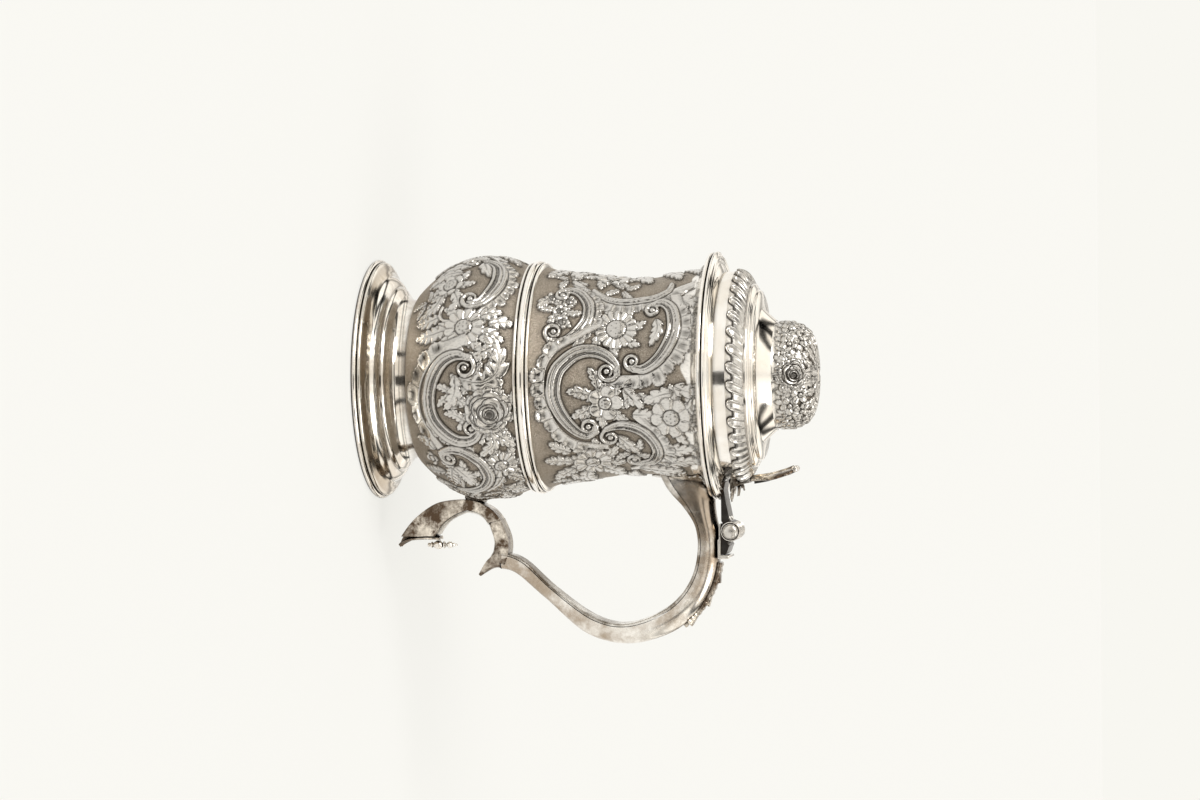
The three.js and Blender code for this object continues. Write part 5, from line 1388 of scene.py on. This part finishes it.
# Lower joint
# A boss of cast silver, soldered between the terminal and the belly. It ties the two together.
boss_outline = [(52.2, 40.2), (52.2, 48.4), (53.4, 49.6), (56.2, 48.6), (55.6, 44), (55.2, 40.2),
                (53.4, 39.5)]
boss = plate("lower_joint_boss_block", boss_outline, -3.4, 3.4, 0.7, 4)
fit(boss, "tankard", "worn_silver", leaf_silver, "lower_joint_boss")

# Room, lamps and camera
# A pale studio: a floor that runs up to a white background, soft light from all sides, and a dark card
# beside the camera that gives the silver its dark streak. The camera lies on its side.
bpy.ops.object.select_all(action="DESELECT")
bpy.ops.mesh.primitive_plane_add(size=60, location=(0, 0, -0.0002))
floor = bpy.context.object
floor.name = "floor"
floor_paint, floor_tree, floor_shader = paint("floor paint")
floor_shader.inputs["Base Color"].default_value = (0.93, 0.92, 0.90, 1)
floor_shader.inputs["Roughness"].default_value = 0.9
floor_glow = node(floor_tree, "ShaderNodeEmission", Color=(0.94, 0.93, 0.88, 1), Strength=1)
floor_way = floor_tree.nodes.new("ShaderNodeLightPath")
floor_share = times(floor_tree, floor_way.outputs["Is Camera Ray"], 0.8)
floor_mix = floor_tree.nodes.new("ShaderNodeMixShader")
floor_tree.links.new(floor_share, floor_mix.inputs["Fac"])
floor_tree.links.new(floor_shader.outputs["BSDF"], floor_mix.inputs[1])
floor_tree.links.new(floor_glow.outputs["Emission"], floor_mix.inputs[2])
floor_tree.links.new(floor_mix.outputs["Shader"], floor_tree.nodes["Material Output"].inputs["Surface"])
floor.data.materials.append(floor_paint)

card_low, card_high, card_top, card_away = -0.055, 0.118, 0.4, 0.7
bpy.ops.object.select_all(action="DESELECT")
bpy.ops.mesh.primitive_plane_add(size=1)
card = bpy.context.object
card.name = "dark_card"
card.scale = (card_high - card_low, card_top, 1)
card.rotation_euler = (math.radians(90), 0, 0)
card.location = (axis_x + (card_low + card_high) / 2, -card_away, card_top / 2)
card.visible_camera = card.visible_diffuse = card.visible_shadow = False
card_paint, _, card_shader = paint("card paint")
card_shader.inputs["Base Color"].default_value = (0.02, 0.018, 0.016, 1)
card.data.materials.append(card_paint)

for lamp_name, turn, rise, power in (("lamp_left", -48, 40, 1.5), ("lamp_right", 62, 58, 0.6)):
    lamp_data = bpy.data.lights.new(lamp_name, "SUN")
    lamp_data.angle = math.radians(32)
    lamp_data.energy = power
    lamp = bpy.data.objects.new(lamp_name, lamp_data)
    lamp.rotation_euler = (math.radians(90 - rise), 0, math.radians(turn))
    bpy.context.scene.collection.objects.link(lamp)

picture_width, focal_pixels = 1200, 3200
camera_data = bpy.data.cameras.new("camera")
camera = bpy.data.objects.new("camera", camera_data)
bpy.context.scene.collection.objects.link(camera)
bpy.context.scene.camera = camera
camera_data.sensor_width = 36
camera_data.lens = 36 * focal_pixels / picture_width
camera_data.clip_end = 20
camera_away, camera_high = 1.4127, 0.3467
camera.location = (axis_x, -camera_away, camera_high)
tilt, swing, lean = math.radians(9.85), math.radians(0.42), math.radians(0.49)
ahead = Vector((math.sin(swing) * math.cos(tilt), math.cos(swing) * math.cos(tilt), -math.sin(tilt)))
sideways = Vector((math.cos(swing), -math.sin(swing), 0))
picture_right = sideways.cross(ahead) * math.cos(lean) + sideways * math.sin(lean)
picture_up = picture_right.cross(ahead)
camera.rotation_euler = Matrix((picture_right, picture_up, -ahead)).transposed().to_euler()

room = bpy.data.worlds.new("room")
bpy.context.scene.world = room
room.use_nodes = True
room_tree = room.node_tree
room_light = room_tree.nodes["Background"]
room_way = room_tree.nodes.new("ShaderNodeLightPath")
side_stops = [(0.0, 1.05), (0.17, 1.15), (0.195, 0.03), (0.225, 0.03), (0.25, 1.15), (0.42, 1.05),
              (0.50, 0.85), (0.56, 1.1), (0.72, 1.15), (0.745, 0.04), (0.775, 0.04), (0.80, 1.1), (1.0, 1.0)]
up_stops = [(0.0, 1.05), (0.505, 1.05), (0.512, 0.3), (0.525, 0.3), (0.535, 1.05), (0.56, 1.05),
            (0.575, 0.35), (0.60, 0.4), (0.62, 1.05), (0.77, 1.05), (0.785, 0.04), (0.83, 0.04),
            (0.85, 1.05), (1.0, 1.05)]
side_light = ramp(room_tree, between(room_tree, axis_of(room_tree, "Generated", "X"), -1, 1), side_stops)
up_light = ramp(room_tree, between(room_tree, axis_of(room_tree, "Generated", "Z"), -1, 1), up_stops)
studio = mix(room_tree, 1, side_light, up_light, "MULTIPLY")
studio = mix(room_tree, 1, studio, (1.05, 1.01, 0.94), "MULTIPLY")
plain = mix(room_tree, room_way.outputs["Is Camera Ray"], (0.62, 0.615, 0.60), (0.94, 0.93, 0.88))
seen = mix(room_tree, room_way.outputs["Is Glossy Ray"], plain, studio)
room_tree.links.new(seen, room_light.inputs["Color"])
room_light.inputs["Strength"].default_value = 1
bpy.context.scene.view_settings.view_transform = "Standard"
